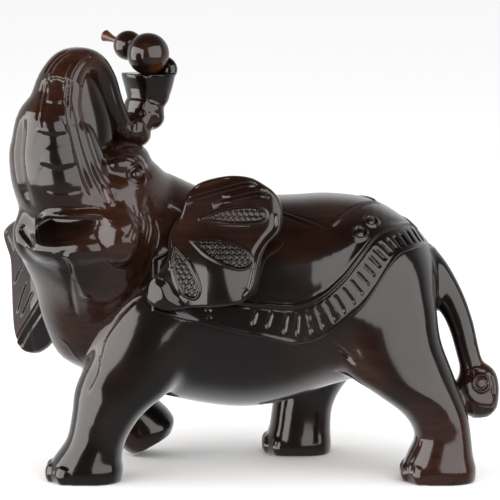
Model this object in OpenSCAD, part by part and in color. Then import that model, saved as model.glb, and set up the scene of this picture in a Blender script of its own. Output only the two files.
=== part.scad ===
// Carved wooden elephant, trunk raised over its head, with a gourd held in the trunk's tip.
// It is glued up from separately carved blocks: flat glue faces with dowels, round tenons on the ears.
// The elephant faces -X with its head turned towards -Y, +Z is up, and the soles stand on z = 0.

/* [Overall] */
// Length from the muzzle side to the tail tuft
figure_length = 302; // [250:1:364]
// Width across the shoulders and the turned head
figure_width = 144; // [120:1:174]
// Height from the soles to the top of the gourd
figure_height = 264; // [220:1:318]
// Angle by which the head is turned from straight ahead
head_turn = 45; // [40:1:50]

/* [Joinery] */
// Radius of the dowels in legs and neck
dowel_r = 5; // [4:0.5:6]
// Length of the dowels in legs and neck
dowel_len = 30; // [24:1:36]
// Radius of the dowels in trunk and tail
thin_dowel_r = 3; // [2.5:0.5:3.5]
// Length of the dowels in trunk and tail
thin_dowel_len = 20; // [16:1:24]
// Radial room for glue round each dowel and tenon
glue_gap = 0.05; // [0.02:0.01:0.08]
// Extra depth of each dowel hole at both ends
end_gap = 0.5; // [0.3:0.1:1]
// Radius of the round tenons on the ears
ear_tenon_r = 8; // [6.5:0.5:9.5]
// Height of the flat joint between the legs and the torso
leg_joint_z = 40; // [36:1:40]

/* [Ears] */
// Half of the ears' thickness
ear_half = 3; // [2.4:0.2:3.6]
// Distance kept between the near ear and the barrel
ear_clear = 2.7; // [2:0.1:3.5]

/* [Eyes] */
// Radius of the eye beads
eye_r = 3.4; // [2.8:0.2:4.2]
// Room between an eye bead and its socket
eye_gap = 0.06; // [0.03:0.01:0.1]

/* [Gourd] */
// Radius of the gourd's large ball
ball_r = 12.6; // [10.5:0.1:15.2]
// Radius of the gourd's small ball
small_r = 9; // [7.5:0.1:10.8]
// Length of the stem beyond the small ball
stem_len = 12; // [10:1:15]
// Radius of the peg that holds the gourd
peg_r = 2; // [1.6:0.1:2.4]
// Length of the peg above the seat
peg_up = 7; // [5:0.5:8.5]
// Length of the peg below the seat
peg_down = 10; // [8:0.5:12]
// Running room between the peg and the gourd
peg_gap = 0.05; // [0.03:0.01:0.09]
// Distance kept between the gourd and its seat
seat_gap = 0.3; // [0.2:0.05:0.5]

/* [Hidden] */
$fn = 48;
dark_wood = [0.13, 0.07, 0.05];
gourd_wood = [0.36, 0.17, 0.08];
dowel_wood = [0.72, 0.55, 0.36];

// The figure is laid out at these reference sizes and stretched to the driving ones.
reference = [302, 144, 264];
stretch = [figure_length / reference.x, figure_width / reference.y, figure_height / reference.z];
// Moves the laid-out figure so that the middle of its box is over the origin
centring = [1.8, 9.1, 0];
function spread(d) = [d.x * stretch.x, d.y * stretch.y, d.z * stretch.z];
function fit(p) = spread(p + centring);
function unit(v) = v / norm(v);
function signed_power(v, e) = sign(v) * pow(abs(v), e);

// Smooth curve through a list of stations, each a vector; t counts stations.
function station(list, t) =
    let (last = len(list) - 1, i = min(floor(t), last - 1), f = t - i,
         p0 = list[max(i - 1, 0)], p1 = list[i], p2 = list[i + 1], p3 = list[min(i + 2, last)])
    0.5 * (2 * p1 + (p2 - p0) * f + (2 * p0 - 5 * p1 + 4 * p2 - p3) * f * f
           + (3 * p1 - p0 - 3 * p2 + p3) * f * f * f);

// One closed ring about the centre c, with half sizes a along side_a and b along side_b.
function ring(c, side_a, side_b, a, b, sides, roundness = 2.2) =
    [for (i = [0 : sides - 1]) let (w = 360 * i / sides, e = 2 / roundness)
        fit(c + side_a * a * signed_power(cos(w), e) + side_b * b * signed_power(sin(w), e))];

// Closed skin over a list of rings with equal numbers of points.
module skin(rings) {
    n = len(rings[0]);
    last = (len(rings) - 1) * n;
    walls = [for (k = [0 : len(rings) - 2], i = [0 : n - 1]) let (j = (i + 1) % n)
        each [[k * n + i, (k + 1) * n + i, (k + 1) * n + j], [k * n + i, (k + 1) * n + j, k * n + j]]];
    caps = [[for (i = [0 : n - 1]) i], [for (i = [n - 1 : -1 : 0]) last + i]];
    polyhedron(points = [for (r = rings) each r], faces = concat(walls, caps));
}

// A short rod, centred on p and lying along the direction d.
module rod(p, d, r, length) {
    turn = acos(unit(d).z);
    translate(p)
        rotate(a = turn, v = turn < 0.01 ? [1, 0, 0] : cross([0, 0, 1], d))
            cylinder(r = r, h = length, center = true);
}

// ---- torso: sections across X, each [x, top z, bottom z, half width] ----
torso_stations = [
    [-117, 92, 78, 8], [-111, 112, 70, 24], [-98, 136, 62, 37], [-80, 155, 52, 47], [-55, 165, 45.5, 55],
    [-25, 166.5, 39.5, 60], [0, 165.5, 38, 62], [25, 166, 42.5, 63], [48, 167, 51, 62],
    [73, 163.5, 58.5, 57], [92, 153, 69, 48], [104, 142, 81, 37], [111, 129, 94, 22], [113, 117, 104, 8]];
module torso_barrel() {
    steps = [0 : 0.5 : len(torso_stations) - 1];
    skin([for (t = steps) let (s = station(torso_stations, t))
        ring([s[0], 0, (s[1] + s[2]) / 2], [0, 1, 0], [0, 0, 1], s[3], (s[1] - s[2]) / 2, 40, 2.25)]);
}
// Half width of the barrel at a place (x, z), rounded off towards the least value.
function barrel_half(x, z, least) =
    let (last = len(torso_stations) - 1,
         under = [for (i = [0 : last]) if (torso_stations[i][0] <= x) i],
         i = min(len(under) == 0 ? 0 : max(under), last - 1),
         p = torso_stations[i], q = torso_stations[i + 1],
         s = p + (q - p) * min(max((x - p[0]) / (q[0] - p[0]), 0), 1),
         h = (s[1] - s[2]) / 2,
         k = min(abs((z - (s[1] + s[2]) / 2) / h), 1))
    pow(pow(s[3] * pow(1 - pow(k, 2.25), 1 / 2.25), 6) + pow(least, 6), 1 / 6);

// ---- legs: sections from the sole up, each [x, z, tilt, half length, y, half width] ----
// The fifth station of each leg is its flat joint, level at leg_joint_z.
joint_z = leg_joint_z;
leg_front_left_stations = [
    [-97, 0, 0, 21, -41, 19], [-98, 6, 0, 22.5, -41, 20.5], [-96, 14, 0, 20, -41, 19.5],
    [-91, 25, 0, 17.7, -41, 18.5], [-84.5, joint_z, 0, 21, -41, 20],
    [-75, 55, 0, 28.5, -39, 23], [-65, 72, 0, 31, -37, 25], [-56, 92, 0, 31, -35, 26],
    [-48, 110, 0, 28, -33, 24], [-42, 128, 0, 20, -28, 18]];
leg_front_right_stations = [
    [-61, 7.3, 30, 14.2, 30, 15], [-63, 13, 29, 18, 30, 18], [-69, 22, 20, 18.5, 31, 18.5],
    [-76, 31, 9, 18.5, 32, 18.5], [-80.5, joint_z, 0, 20, 33, 19],
    [-81, 54, 0, 22, 34, 21], [-73, 70, 0, 26, 36, 24], [-62, 90, 0, 29, 35, 26],
    [-51, 110, 0, 28, 33, 24], [-44, 128, 0, 20, 28, 18]];
leg_hind_left_stations = [
    [113, 0, 0, 21, -41, 19], [112.5, 7, 0, 21.8, -41, 20], [113, 15, 0, 19.5, -41, 19],
    [114.5, 27, 0, 16.6, -41, 18], [110, joint_z, 0, 19, -41, 19],
    [99, 53, 0, 25.5, -40, 22], [87, 66, 0, 32.5, -37, 25], [79, 84, 0, 34, -35, 26],
    [76, 105, 0, 34, -32, 26], [78, 125, 0, 27, -26, 22], [80, 138, 0, 17, -20, 15]];
leg_hind_right_stations = [
    [30, 0, 0, 20.5, 40, 18.5], [29.5, 6, 0, 21, 40, 19.5], [31, 15, 0, 19, 40, 18.5],
    [32.5, 28, 0, 18.6, 40, 18], [36, joint_z, 0, 20.5, 40, 19],
    [42, 53, 0, 25, 39, 22], [50, 66, 0, 30, 37, 25], [60, 84, 0, 33, 35, 26],
    [68, 105, 0, 33, 32, 26], [74, 125, 0, 26, 26, 22], [78, 138, 0, 17, 20, 15]];
joint_station = 4;
module leg_part(list, first, last) {
    skin([for (t = [first : 0.5 : last]) let (s = station(list, t))
        ring([s[0], s[4], s[1]], [cos(s[2]), 0, sin(s[2])], [0, 1, 0], s[3], s[5], 28, 2.4)]);
}
module leg(list) {
    at = list[joint_station];
    difference() {
        leg_part(list, 0, joint_station);
        rod(fit([at[0], at[4], at[1]]), [0, 0, 1], dowel_r + glue_gap, dowel_len + 2 * end_gap);
    }
}
all_legs = [leg_front_left_stations, leg_front_right_stations, leg_hind_left_stations,
            leg_hind_right_stations];

// ---- head: its own axes are u (forward), v (to its left) and z, through the point head_at ----
head_at = [-93, -34, 0];
forward = [-cos(head_turn), -sin(head_turn), 0];
left = [sin(head_turn), -cos(head_turn), 0];
up = [0, 0, 1];
function in_head(u, v, z) = head_at + forward * u + left * v + up * z;
// Each [z, u, half size along u, half size along v]
head_stations = [
    [100, -7, 20, 22], [110, -4, 29, 30], [122, 0, 35, 36], [136, 3, 39, 40.5], [152, 4, 40, 42],
    [166, 1, 39, 40], [177, -4, 36, 37], [185, -8, 31, 32], [191, -12, 22, 23], [195, -16, 13, 14],
    [197, -18, 7, 8]];
module skull() {
    skin([for (t = [0 : 0.5 : len(head_stations) - 1]) let (s = station(head_stations, t))
        ring(in_head(s[1], 0, s[0]), forward, left, s[2], s[3], 36, 2.2)]);
}
// Throat, level slices from the chest up: each [x, y, z, radius]
throat_stations = [[-88, -10, 61, 9], [-92, -13, 70, 21], [-94, -16, 84, 27], [-95, -20, 102, 31],
                   [-95, -25, 120, 33], [-94, -29, 136, 33]];
// Nape, leaning slices from the shoulders to the skull: each [x, y, z, half width, half height]
nape_stations = [[-20, -2, 119, 40, 34], [-42, -6, 135, 41, 36], [-60, -12, 147, 40, 35],
                 [-75, -21, 156, 36, 33], [-88, -29, 162, 28, 28]];
module throat() {
    skin([for (t = [0 : 0.5 : len(throat_stations) - 1]) let (s = station(throat_stations, t))
        ring([s[0], s[1], s[2]], [1, 0, 0], [0, 1, 0], s[3], s[3], 28)]);
}
module nape() {
    lean = 35;
    skin([for (t = [len(nape_stations) - 1 : -0.5 : 0]) let (s = station(nape_stations, t))
        ring([s[0], s[1], s[2]], [0, 1, 0], [sin(lean), 0, cos(lean)], s[3], s[4], 28)]);
}

// ---- trunk: sections along its path, each [u, z, half size in the bend's plane, half size across] ----
trunk_stations = [
    [12, 150, 22, 27], [16.5, 165, 25, 29], [24, 180, 26, 29], [28, 193, 25, 28], [30, 204, 23, 25.5],
    [31.5, 215.5, 18.5, 21], [28, 226.5, 12.5, 17], [24, 238, 10.8, 15], [16, 247, 9.5, 13],
    [4, 247, 9, 12], [-5, 238, 8.7, 11.5], [-12, 222, 8.3, 11], [-21, 208, 8, 10.5], [-34, 208.5, 8.2, 11],
    [-42, 219, 9.5, 12.5], [-45, 229, 12, 14.5], [-45.5, 239, 14, 15.5]];
trunk_foot = 3;
trunk_split = 7;
function trunk_at(t) = let (s = station(trunk_stations, t)) in_head(s[0], 0, s[1]);
function trunk_way(t) = let (d = 0.02, last = len(trunk_stations) - 1)
    unit(trunk_at(min(t + d, last)) - trunk_at(max(t - d, 0)));
module trunk_part(first, last, step = 0.25) {
    skin([for (t = [first : step : last]) let (s = station(trunk_stations, t), w = trunk_way(t))
        ring(trunk_at(t), cross(left, w), left, s[2], s[3], 28, 2.3)]);
}
module trunk_bore(t) {
    rod(fit(trunk_at(t)), spread(trunk_way(t)), thin_dowel_r + glue_gap, thin_dowel_len + 2 * end_gap);
}

// ---- tail: sections along its path, each [x, y, z, half size across, half size in its plane] ----
tail_stations = [
    [104, -6, 128, 9, 9], [111, -8, 120, 8.5, 9], [118, -11, 108, 7.5, 8.8], [123.5, -14, 97, 7, 8],
    [127.5, -17, 86, 6.5, 7.3], [130.5, -19, 74, 6.2, 6.9], [133, -20, 65, 7, 7.5],
    [135.5, -21, 57.5, 10, 12.5], [136.5, -22, 48, 10.5, 13], [138, -22, 39, 9, 10.5],
    [138.5, -22, 34, 4, 5]];
tail_joint = 3;
function tail_at(t) = let (s = station(tail_stations, t)) [s[0], s[1], s[2]];
function tail_way(t) = let (d = 0.02, last = len(tail_stations) - 1,
                            w = tail_at(min(t + d, last)) - tail_at(max(t - d, 0))) unit([w.x, 0, w.z]);
module tail_part(first, last) {
    skin([for (t = [first : 0.5 : last]) let (s = station(tail_stations, t), w = tail_way(t))
        ring(tail_at(t), [0, 1, 0], cross(w, [0, 1, 0]), s[3], s[4], 20, 2.3)]);
}

// ---- the flat joint between torso and head, a leaning plane ----
neck_point = [-95, 0, 100];
neck_lean = 35.5;
neck_centre = [-70, -15, neck_point.z + 25 * tan(neck_lean)];
neck_normal = unit([-sin(neck_lean) / stretch.x, 0, cos(neck_lean) / stretch.z]);
big = 600;
module head_side() {
    translate(fit(neck_point))
        rotate([0, -atan2(-neck_normal.x, neck_normal.z), 0])
            translate([-big / 2, -big / 2, 0])
                cube(big);
}
neck_dowel_places = [[-70, -28, neck_centre.z], [-70, 0, neck_centre.z]];
module neck_rods(r, length) {
    for (p = neck_dowel_places) rod(fit(p), neck_normal, r, length);
}
module figure() {
    torso_barrel();
    for (list = all_legs) leg_part(list, joint_station, len(list) - 1);
    skull();
    throat();
    nape();
    trunk_part(0, trunk_foot, 0.5);
    tail_part(0, tail_joint);
}
// Everything inside is joined as one carved surface.
module carved() {
    resize([0, 0, 0]) union() children();
}

module torso() {
    color(dark_wood) difference() {
        carved() difference() { figure(); head_side(); }
        for (list = all_legs) let (at = list[joint_station])
            rod(fit([at[0], at[4], at[1]]), [0, 0, 1], dowel_r + glue_gap, dowel_len + 2 * end_gap);
        neck_rods(dowel_r + glue_gap, dowel_len + 2 * end_gap);
        tail_bore();
    }
}
module tail_bore() {
    rod(fit(tail_at(tail_joint)), spread(tail_way(tail_joint)), thin_dowel_r + glue_gap,
        thin_dowel_len + 2 * end_gap);
}

// Mouth: a bowl under the trunk's root; the face looks further to the side than the trunk's curl.
// Each [distance out from the head's axis, z, half height, half width]
face_turn = head_turn + 25;
face_out = [-cos(face_turn), -sin(face_turn), 0];
face_left = [sin(face_turn), -cos(face_turn), 0];
mouth_stations = [[46, 148, 9, 20], [40, 150, 8.5, 19], [33, 152.5, 7, 17], [26, 155, 4.5, 12]];
module mouth() {
    skin([for (t = [len(mouth_stations) - 1 : -0.5 : 0]) let (s = station(mouth_stations, t))
        ring(head_at + face_out * s[0] + up * s[1], face_left, up, s[3], s[2], 24)]);
}
module head() {
    color(dark_wood) difference() {
        carved() difference() {
            intersection() { figure(); head_side(); }
            mouth();
        }
        neck_rods(dowel_r + glue_gap, dowel_len + 2 * end_gap);
        trunk_bore(trunk_foot);
        ear_left_tenon(glue_gap, end_gap);
        ear_right_tenon(glue_gap, end_gap);
        for (side = [1, -1]) translate(eye_at(side)) sphere(r = eye_r + eye_gap);
    }
}
module trunk_column() {
    color(dark_wood) difference() {
        trunk_part(trunk_foot, trunk_split);
        trunk_bore(trunk_foot);
        trunk_bore(trunk_split);
    }
}
// The gourd's large ball sits over the trunk's tip, and its axis points back and to the far side.
tip_at = trunk_at(len(trunk_stations) - 1);
ball_at = fit(tip_at) + [0, 0, ball_r - 1];
gourd_axis = unit([-0.68, 0.69, 0.23]);
peg_middle = ball_at - [0, 0, ball_r - (peg_up - peg_down) / 2];
module trunk_curl() {
    color(dark_wood) difference() {
        trunk_part(trunk_split, len(trunk_stations) - 1);
        trunk_bore(trunk_split);
        translate(ball_at) sphere(r = ball_r + seat_gap);
        translate(ball_at - [0, 0, ball_r + peg_down])
            cylinder(r = peg_r + glue_gap, h = ball_r + peg_down);
    }
}
module gourd() {
    small_at = ball_r + small_r * 0.62;
    stem_end = small_at + small_r + stem_len;
    waist = small_r * 0.55;
    stem_r = small_r * 0.2;
    axis_turn = [0, acos(gourd_axis.z), atan2(gourd_axis.y, gourd_axis.x)];
    color(gourd_wood) difference() {
        translate(ball_at) union() {
            sphere(r = ball_r);
            rotate(axis_turn) {
                cylinder(r = waist, h = small_at);
                translate([0, 0, small_at]) sphere(r = small_r);
                cylinder(r = stem_r, h = stem_end);
                translate([0, 0, stem_end - stem_len * 0.45])
                    cylinder(r1 = stem_r, r2 = stem_r * 2, h = stem_len * 0.45);
            }
        }
        translate(ball_at - [0, 0, 2 * ball_r])
            cylinder(r = peg_r + peg_gap, h = ball_r + peg_up + end_gap);
    }
}
module gourd_peg() {
    color(dowel_wood) translate(peg_middle)
        cylinder(r = peg_r, h = peg_up + peg_down - end_gap, center = true);
}

// ---- near ear: sections across X, each [x, top z, bottom z]; it hugs the barrel with ear_clear ----
ear_left_stations = [
    [-60.5, 121, 110], [-54, 127, 106], [-47, 146, 105], [-41, 162, 105.5], [-35, 176, 106.5],
    [-25, 181, 107], [-8, 183.5, 108], [2, 181.5, 115], [7, 177.5, 131], [13, 174, 140], [17, 168, 147],
    [19.5, 160, 153]];
ear_left_root = [-44, -50, 152];
function ear_left_y(x, z) = -(barrel_half(x, z, 46) + ear_clear / stretch.y + ear_half);
module ear_left_blade() {
    half = ear_half;
    skin([for (t = [0 : 0.5 : len(ear_left_stations) - 1])
        let (s = station(ear_left_stations, t), h = (s[1] - s[2]) / 2, mid = (s[1] + s[2]) / 2)
        [for (i = [0 : 35]) let (w = 10 * i, dz = h * signed_power(sin(w), 0.8), z = mid + dz)
            fit([s[0], ear_left_y(s[0], z) + half * signed_power(cos(w), 0.8), z])]]);
}
module ear_left_tenon(room = 0, deeper = 0) {
    seat = fit(ear_left_root);
    translate([seat.x, seat.y - 4, seat.z]) rotate([-90, 0, 0])
        cylinder(r = ear_tenon_r + room, h = 22 + deeper);
}
module ear_left() {
    color(dark_wood) union() {
        ear_left_blade();
        ear_left_tenon();
    }
}
// ---- far ear: flares sideways from the head, thick at its root where the tenon stands; sections
// across v, each [v, top z, bottom z, u, thickness as a multiple of the ear's] ----
ear_right_stations = [
    [-99, 138, 134.5, -17, 0.8], [-91, 142, 104, -16, 1], [-88, 144.5, 73, -15, 1],
    [-80, 147, 63.5, -14, 1], [-68, 149, 65, -12, 1], [-59, 149, 71, -11, 1.2], [-53, 146, 79, -11, 1.9],
    [-48.5, 140, 92, -11, 2.6]];
ear_right_root = [-11, -50, 120];
module ear_right_blade() {
    skin([for (t = [0 : 0.5 : len(ear_right_stations) - 1])
        let (s = station(ear_right_stations, t))
        ring(in_head(s[3], s[0], (s[1] + s[2]) / 2), up, forward, (s[1] - s[2]) / 2,
             ear_half * s[4], 36, 2.4)]);
}
module ear_right_tenon(room = 0, deeper = 0) {
    length = 24 + deeper;
    start = fit(in_head(ear_right_root[0], ear_right_root[1], ear_right_root[2]));
    inward = unit(spread(left));
    rod(start + inward * length / 2, inward, ear_tenon_r + room, length);
}
module ear_right() {
    color(dark_wood) union() {
        ear_right_blade();
        ear_right_tenon();
    }
}
// ---- eyes: beads in round sockets ----
function eye_at(side) = fit(in_head(-5, side * 31.5, 184));
module eye_left() { color(dark_wood) translate(eye_at(1)) sphere(r = eye_r); }
module eye_right() { color(dark_wood) translate(eye_at(-1)) sphere(r = eye_r); }

module tail() {
    color(dark_wood) difference() {
        tail_part(tail_joint, len(tail_stations) - 1);
        tail_bore();
    }
}
module leg_front_left() { color(dark_wood) leg(leg_front_left_stations); }
module leg_front_right() { color(dark_wood) leg(leg_front_right_stations); }
module leg_hind_left() { color(dark_wood) leg(leg_hind_left_stations); }
module leg_hind_right() { color(dark_wood) leg(leg_hind_right_stations); }
module neck_dowels() { color(dowel_wood) neck_rods(dowel_r, dowel_len); }
module trunk_dowels() {
    color(dowel_wood) for (t = [trunk_foot, trunk_split])
        rod(fit(trunk_at(t)), spread(trunk_way(t)), thin_dowel_r, thin_dowel_len);
}
module leg_dowels() {
    color(dowel_wood) for (list = all_legs) let (at = list[joint_station])
        rod(fit([at[0], at[4], at[1]]), [0, 0, 1], dowel_r, dowel_len);
}
module tail_dowel() {
    color(dowel_wood)
        rod(fit(tail_at(tail_joint)), spread(tail_way(tail_joint)), thin_dowel_r, thin_dowel_len);
}

torso();
head();
trunk_column();
trunk_curl();
gourd();
gourd_peg();
ear_left();
ear_right();
eye_left();
eye_right();
tail();
leg_front_left();
leg_front_right();
leg_hind_left();
leg_hind_right();
neck_dowels();
trunk_dowels();
leg_dowels();
tail_dowel();
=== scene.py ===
import bpy, bmesh, math
import numpy as np
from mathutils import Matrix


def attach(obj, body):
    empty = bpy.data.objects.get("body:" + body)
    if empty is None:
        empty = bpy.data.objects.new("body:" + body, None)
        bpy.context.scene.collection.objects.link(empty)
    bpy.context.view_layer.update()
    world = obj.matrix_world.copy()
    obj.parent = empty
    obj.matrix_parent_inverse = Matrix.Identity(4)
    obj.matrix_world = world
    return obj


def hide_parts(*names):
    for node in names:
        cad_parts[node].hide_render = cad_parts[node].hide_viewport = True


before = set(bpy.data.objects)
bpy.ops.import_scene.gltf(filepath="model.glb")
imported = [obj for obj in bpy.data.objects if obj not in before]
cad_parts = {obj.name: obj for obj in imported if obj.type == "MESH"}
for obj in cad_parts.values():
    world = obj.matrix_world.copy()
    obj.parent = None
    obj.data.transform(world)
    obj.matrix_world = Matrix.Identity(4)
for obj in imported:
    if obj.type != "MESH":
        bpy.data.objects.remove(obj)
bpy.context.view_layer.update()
import openvdb

# Carved elephant, laid out in millimetres: -X is the front, -Y the near side, +Z up.
# The wood is one blended skin, cut apart at the glue joints; ears, blanket, eyes and gourd are their own
# surfaces.
centring = np.array([1.8, 9.1, 0.0])      # layout to frame, mm
up = np.array([0.0, 0.0, 1.0])


# A vector divided by its own length
def unit(v):
    return v / np.linalg.norm(v, axis=-1, keepdims=True)


# Catmull-Rom curve through the rows of a table: perSpan samples between neighbours
def alongStations(table, perSpan):
    table = np.asarray(table, float)
    t = np.linspace(0, len(table) - 1, (len(table) - 1) * perSpan + 1)
    i = np.minimum(t.astype(int), len(table) - 2)
    f = (t - i)[:, None]
    p0, p1 = table[np.maximum(i - 1, 0)], table[i]
    p2, p3 = table[i + 1], table[np.minimum(i + 2, len(table) - 1)]
    return 0.5 * (2 * p1 + (p2 - p0) * f + (2 * p0 - 5 * p1 + 4 * p2 - p3) * f ** 2
                  + (3 * p1 - p0 - 3 * p2 + p3) * f ** 3)


# The same curve resampled at even steps of its own length
def evenCurve(table, step):
    dense = alongStations(table, 12)
    run = np.concatenate([[0], np.cumsum(np.linalg.norm(np.diff(dense, axis=0), axis=1))])
    at = np.linspace(0, run[-1], max(int(run[-1] / step), 2) + 1)
    return np.stack([np.interp(at, run, dense[:, c]) for c in range(dense.shape[1])], 1), at


# Superellipse rings: centre + sideA * a * cos^(2/n) + sideB * b * sin^(2/n)
def superRings(centre, sideA, sideB, halfA, halfB, roundness=2.2, sides=64):
    w = np.linspace(0, 2 * np.pi, sides, endpoint=False)
    c = np.sign(np.cos(w)) * np.abs(np.cos(w)) ** (2 / roundness)
    s = np.sign(np.sin(w)) * np.abs(np.sin(w)) ** (2 / roundness)
    sideA, sideB = np.broadcast_to(sideA, centre.shape), np.broadcast_to(sideB, centre.shape)
    return (centre[:, None] + sideA[:, None] * (np.reshape(halfA, (-1, 1)) * c)[..., None]
            + sideB[:, None] * (np.reshape(halfB, (-1, 1)) * s)[..., None])


# A grid of rings becomes quads, with a fan of triangles to a middle point at each end
def closedSkin(grid):
    k, n = grid.shape[:2]
    i, j = np.meshgrid(np.arange(k - 1), np.arange(n), indexing="ij")
    a, b = i * n + j, i * n + (j + 1) % n
    quads = np.stack([a, b, b + n, a + n], -1).reshape(-1, 4)
    j = np.arange(n)
    j2, last = (j + 1) % n, (k - 1) * n
    first = np.stack([np.full(n, k * n), j2, j], 1)
    final = np.stack([np.full(n, k * n + 1), last + j, last + j2], 1)
    points = np.concatenate([grid.reshape(-1, 3), grid[:1].mean(1), grid[-1:].mean(1)])
    return points, quads, np.concatenate([first, final])


# The stations of the body, as in the part's own layout
# torso: x, top, bottom, half width
torsoStations = [
    [-117, 92, 78, 8], [-111, 112, 70, 24], [-98, 136, 62, 37], [-80, 155, 52, 47], [-55, 165, 45.5, 55],
    [-25, 166.5, 39.5, 60], [0, 165.5, 38, 62], [25, 166, 42.5, 63], [48, 167, 51, 62],
    [73, 163.5, 58.5, 57], [92, 153, 69, 48], [104, 142, 81, 37], [111, 129, 94, 22], [113, 117, 104, 8]]
# legs: x, z, tilt, half length, y, half width; the fifth row is the glue joint
jointHeight = 40.0
legStations = {
    "leg_front_left": [
        [-97, 0, 0, 21, -41, 19], [-98, 6, 0, 22.5, -41, 20.5], [-96, 14, 0, 20, -41, 19.5],
        [-91, 25, 0, 17.7, -41, 18.5], [-84.5, 40, 0, 21, -41, 20], [-75, 55, 0, 28.5, -39, 23],
        [-65, 72, 0, 31, -37, 25], [-56, 92, 0, 31, -35, 26], [-48, 110, 0, 28, -33, 24],
        [-42, 128, 0, 20, -28, 18]],
    "leg_front_right": [
        [-61, 7.3, 30, 14.2, 30, 15], [-63, 13, 29, 18, 30, 18], [-69, 22, 20, 18.5, 31, 18.5],
        [-76, 31, 9, 18.5, 32, 18.5], [-80.5, 40, 0, 20, 33, 19], [-81, 54, 0, 22, 34, 21],
        [-73, 70, 0, 26, 36, 24], [-62, 90, 0, 29, 35, 26], [-51, 110, 0, 28, 33, 24],
        [-44, 128, 0, 20, 28, 18]],
    "leg_hind_left": [
        [113, 0, 0, 21, -41, 19], [112.5, 7, 0, 21.8, -41, 20], [113, 15, 0, 19.5, -41, 19],
        [114.5, 27, 0, 16.6, -41, 18], [110, 40, 0, 19, -41, 19], [99, 53, 0, 25.5, -40, 22],
        [87, 66, 0, 32.5, -37, 25], [79, 84, 0, 34, -35, 26], [76, 105, 0, 34, -32, 26],
        [78, 125, 0, 27, -26, 22], [80, 138, 0, 17, -20, 15]],
    "leg_hind_right": [
        [30, 0, 0, 20.5, 40, 18.5], [29.5, 6, 0, 21, 40, 19.5], [31, 15, 0, 19, 40, 18.5],
        [32.5, 28, 0, 18.6, 40, 18], [36, 40, 0, 20.5, 40, 19], [42, 53, 0, 25, 39, 22],
        [50, 66, 0, 30, 37, 25], [60, 84, 0, 33, 35, 26], [68, 105, 0, 33, 32, 26],
        [74, 125, 0, 26, 26, 22], [78, 138, 0, 17, 20, 15]]}
# the head's own axes: u forward, v to its left
headAt = np.array([-93.0, -34.0, 0.0])
headTurn = math.radians(45)
forward = np.array([-math.cos(headTurn), -math.sin(headTurn), 0])
left = np.array([math.sin(headTurn), -math.cos(headTurn), 0])
# skull: z, u, half size along u, half size along v
headStations = [
    [100, -7, 20, 22], [110, -4, 29, 30], [122, 0, 35, 36], [136, 3, 39, 40.5], [152, 4, 40, 42],
    [166, 1, 39, 40], [177, -4, 36, 37], [185, -8, 31, 32], [191, -12, 22, 23], [195, -16, 13, 14],
    [197, -18, 7, 8]]
# throat: x, y, z, radius; nape: x, y, z, half width, half height
throatStations = [[-88, -10, 61, 9], [-92, -13, 70, 21], [-94, -16, 84, 27], [-95, -20, 102, 31],
                  [-95, -25, 120, 33], [-94, -29, 136, 33]]
napeStations = [[-20, -2, 119, 40, 34], [-42, -6, 135, 41, 36], [-60, -12, 147, 40, 35],
                [-75, -21, 156, 36, 33], [-88, -29, 162, 28, 28]]
napeLean = math.radians(35)
# trunk: u, z, half size in the bend's plane, half size across
trunkStations = [
    [12, 150, 22, 27], [16.5, 165, 25, 29], [24, 180, 26, 29], [28, 193, 25, 28], [30, 204, 23, 25.5],
    [31.5, 215.5, 18.5, 21], [28, 226.5, 12.5, 17], [24, 238, 10.8, 15], [16, 247, 9.5, 13],
    [4, 247, 9, 12], [-5, 238, 8.7, 11.5], [-12, 222, 8.3, 11], [-21, 208, 8, 10.5], [-34, 208.5, 8.2, 11],
    [-42, 219, 9.5, 12.5], [-45, 229, 12, 14.5], [-45.5, 239, 14, 15.5]]
trunkFoot, trunkSplit = 3, 7
perStation = 12
# tail: x, y, z, half size across, half size in its plane
tailStations = [
    [104, -6, 128, 9, 9], [111, -8, 120, 8.5, 9], [118, -11, 108, 7.5, 8.8], [123.5, -14, 97, 7, 8],
    [127.5, -17, 86, 6.5, 7.3], [130.5, -19, 74, 6.2, 6.9], [133, -20, 65, 7, 7.5],
    [135.5, -21, 57.5, 10, 12.5], [136.5, -22, 48, 10.5, 13], [138, -22, 39, 9, 10.5],
    [138.5, -22, 34, 4, 5]]
tailJoint = 3
neckPoint, neckLean = np.array([-95.0, 0, 100.0]), math.radians(35.5)
neckNormal = np.array([-math.sin(neckLean), 0, math.cos(neckLean)])


# Place from the head's own axes: headAt + forward * u + left * v + up * z
def inHead(u, v, z):
    u, v, z = np.broadcast_arrays(*(np.asarray(q, float) for q in (u, v, z)))
    return headAt + forward * u[..., None] + left * v[..., None] + up * z[..., None]


# Barrel: superellipses across x, midway between top and bottom
def torsoRings():
    s = alongStations(torsoStations, 4)
    mid = np.stack([s[:, 0], 0 * s[:, 0], (s[:, 1] + s[:, 2]) / 2], 1)
    return superRings(mid, [0, 1, 0], [0, 0, 1], s[:, 3], (s[:, 1] - s[:, 2]) / 2, 2.25, 96)


# Leg: near-level superellipses up z, each tilted about y by its station's tilt
def legRings(name):
    s = alongStations(legStations[name], 4)
    tilt = np.radians(s[:, 2])
    along = np.stack([np.cos(tilt), 0 * tilt, np.sin(tilt)], 1)
    return superRings(s[:, [0, 4, 1]], along, [0, 1, 0], s[:, 3], s[:, 5], 2.4)


# Skull: level superellipses up z along the head's own axes
def skullRings():
    s = alongStations(headStations, 4)
    return superRings(inHead(s[:, 1], 0, s[:, 0]), forward, left, s[:, 2], s[:, 3], 2.2, 80)


# Throat: level circles up z
def throatRings():
    s = alongStations(throatStations, 4)
    return superRings(s[:, :3], [1, 0, 0], [0, 1, 0], s[:, 3], s[:, 3], 2.0)


# Nape: ellipses across the neck, all leaning by napeLean
def napeRings():
    s = alongStations(napeStations, 4)
    return superRings(s[:, :3], [0, 1, 0], [math.sin(napeLean), 0, math.cos(napeLean)], s[:, 3], s[:, 4], 2.0)


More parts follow.
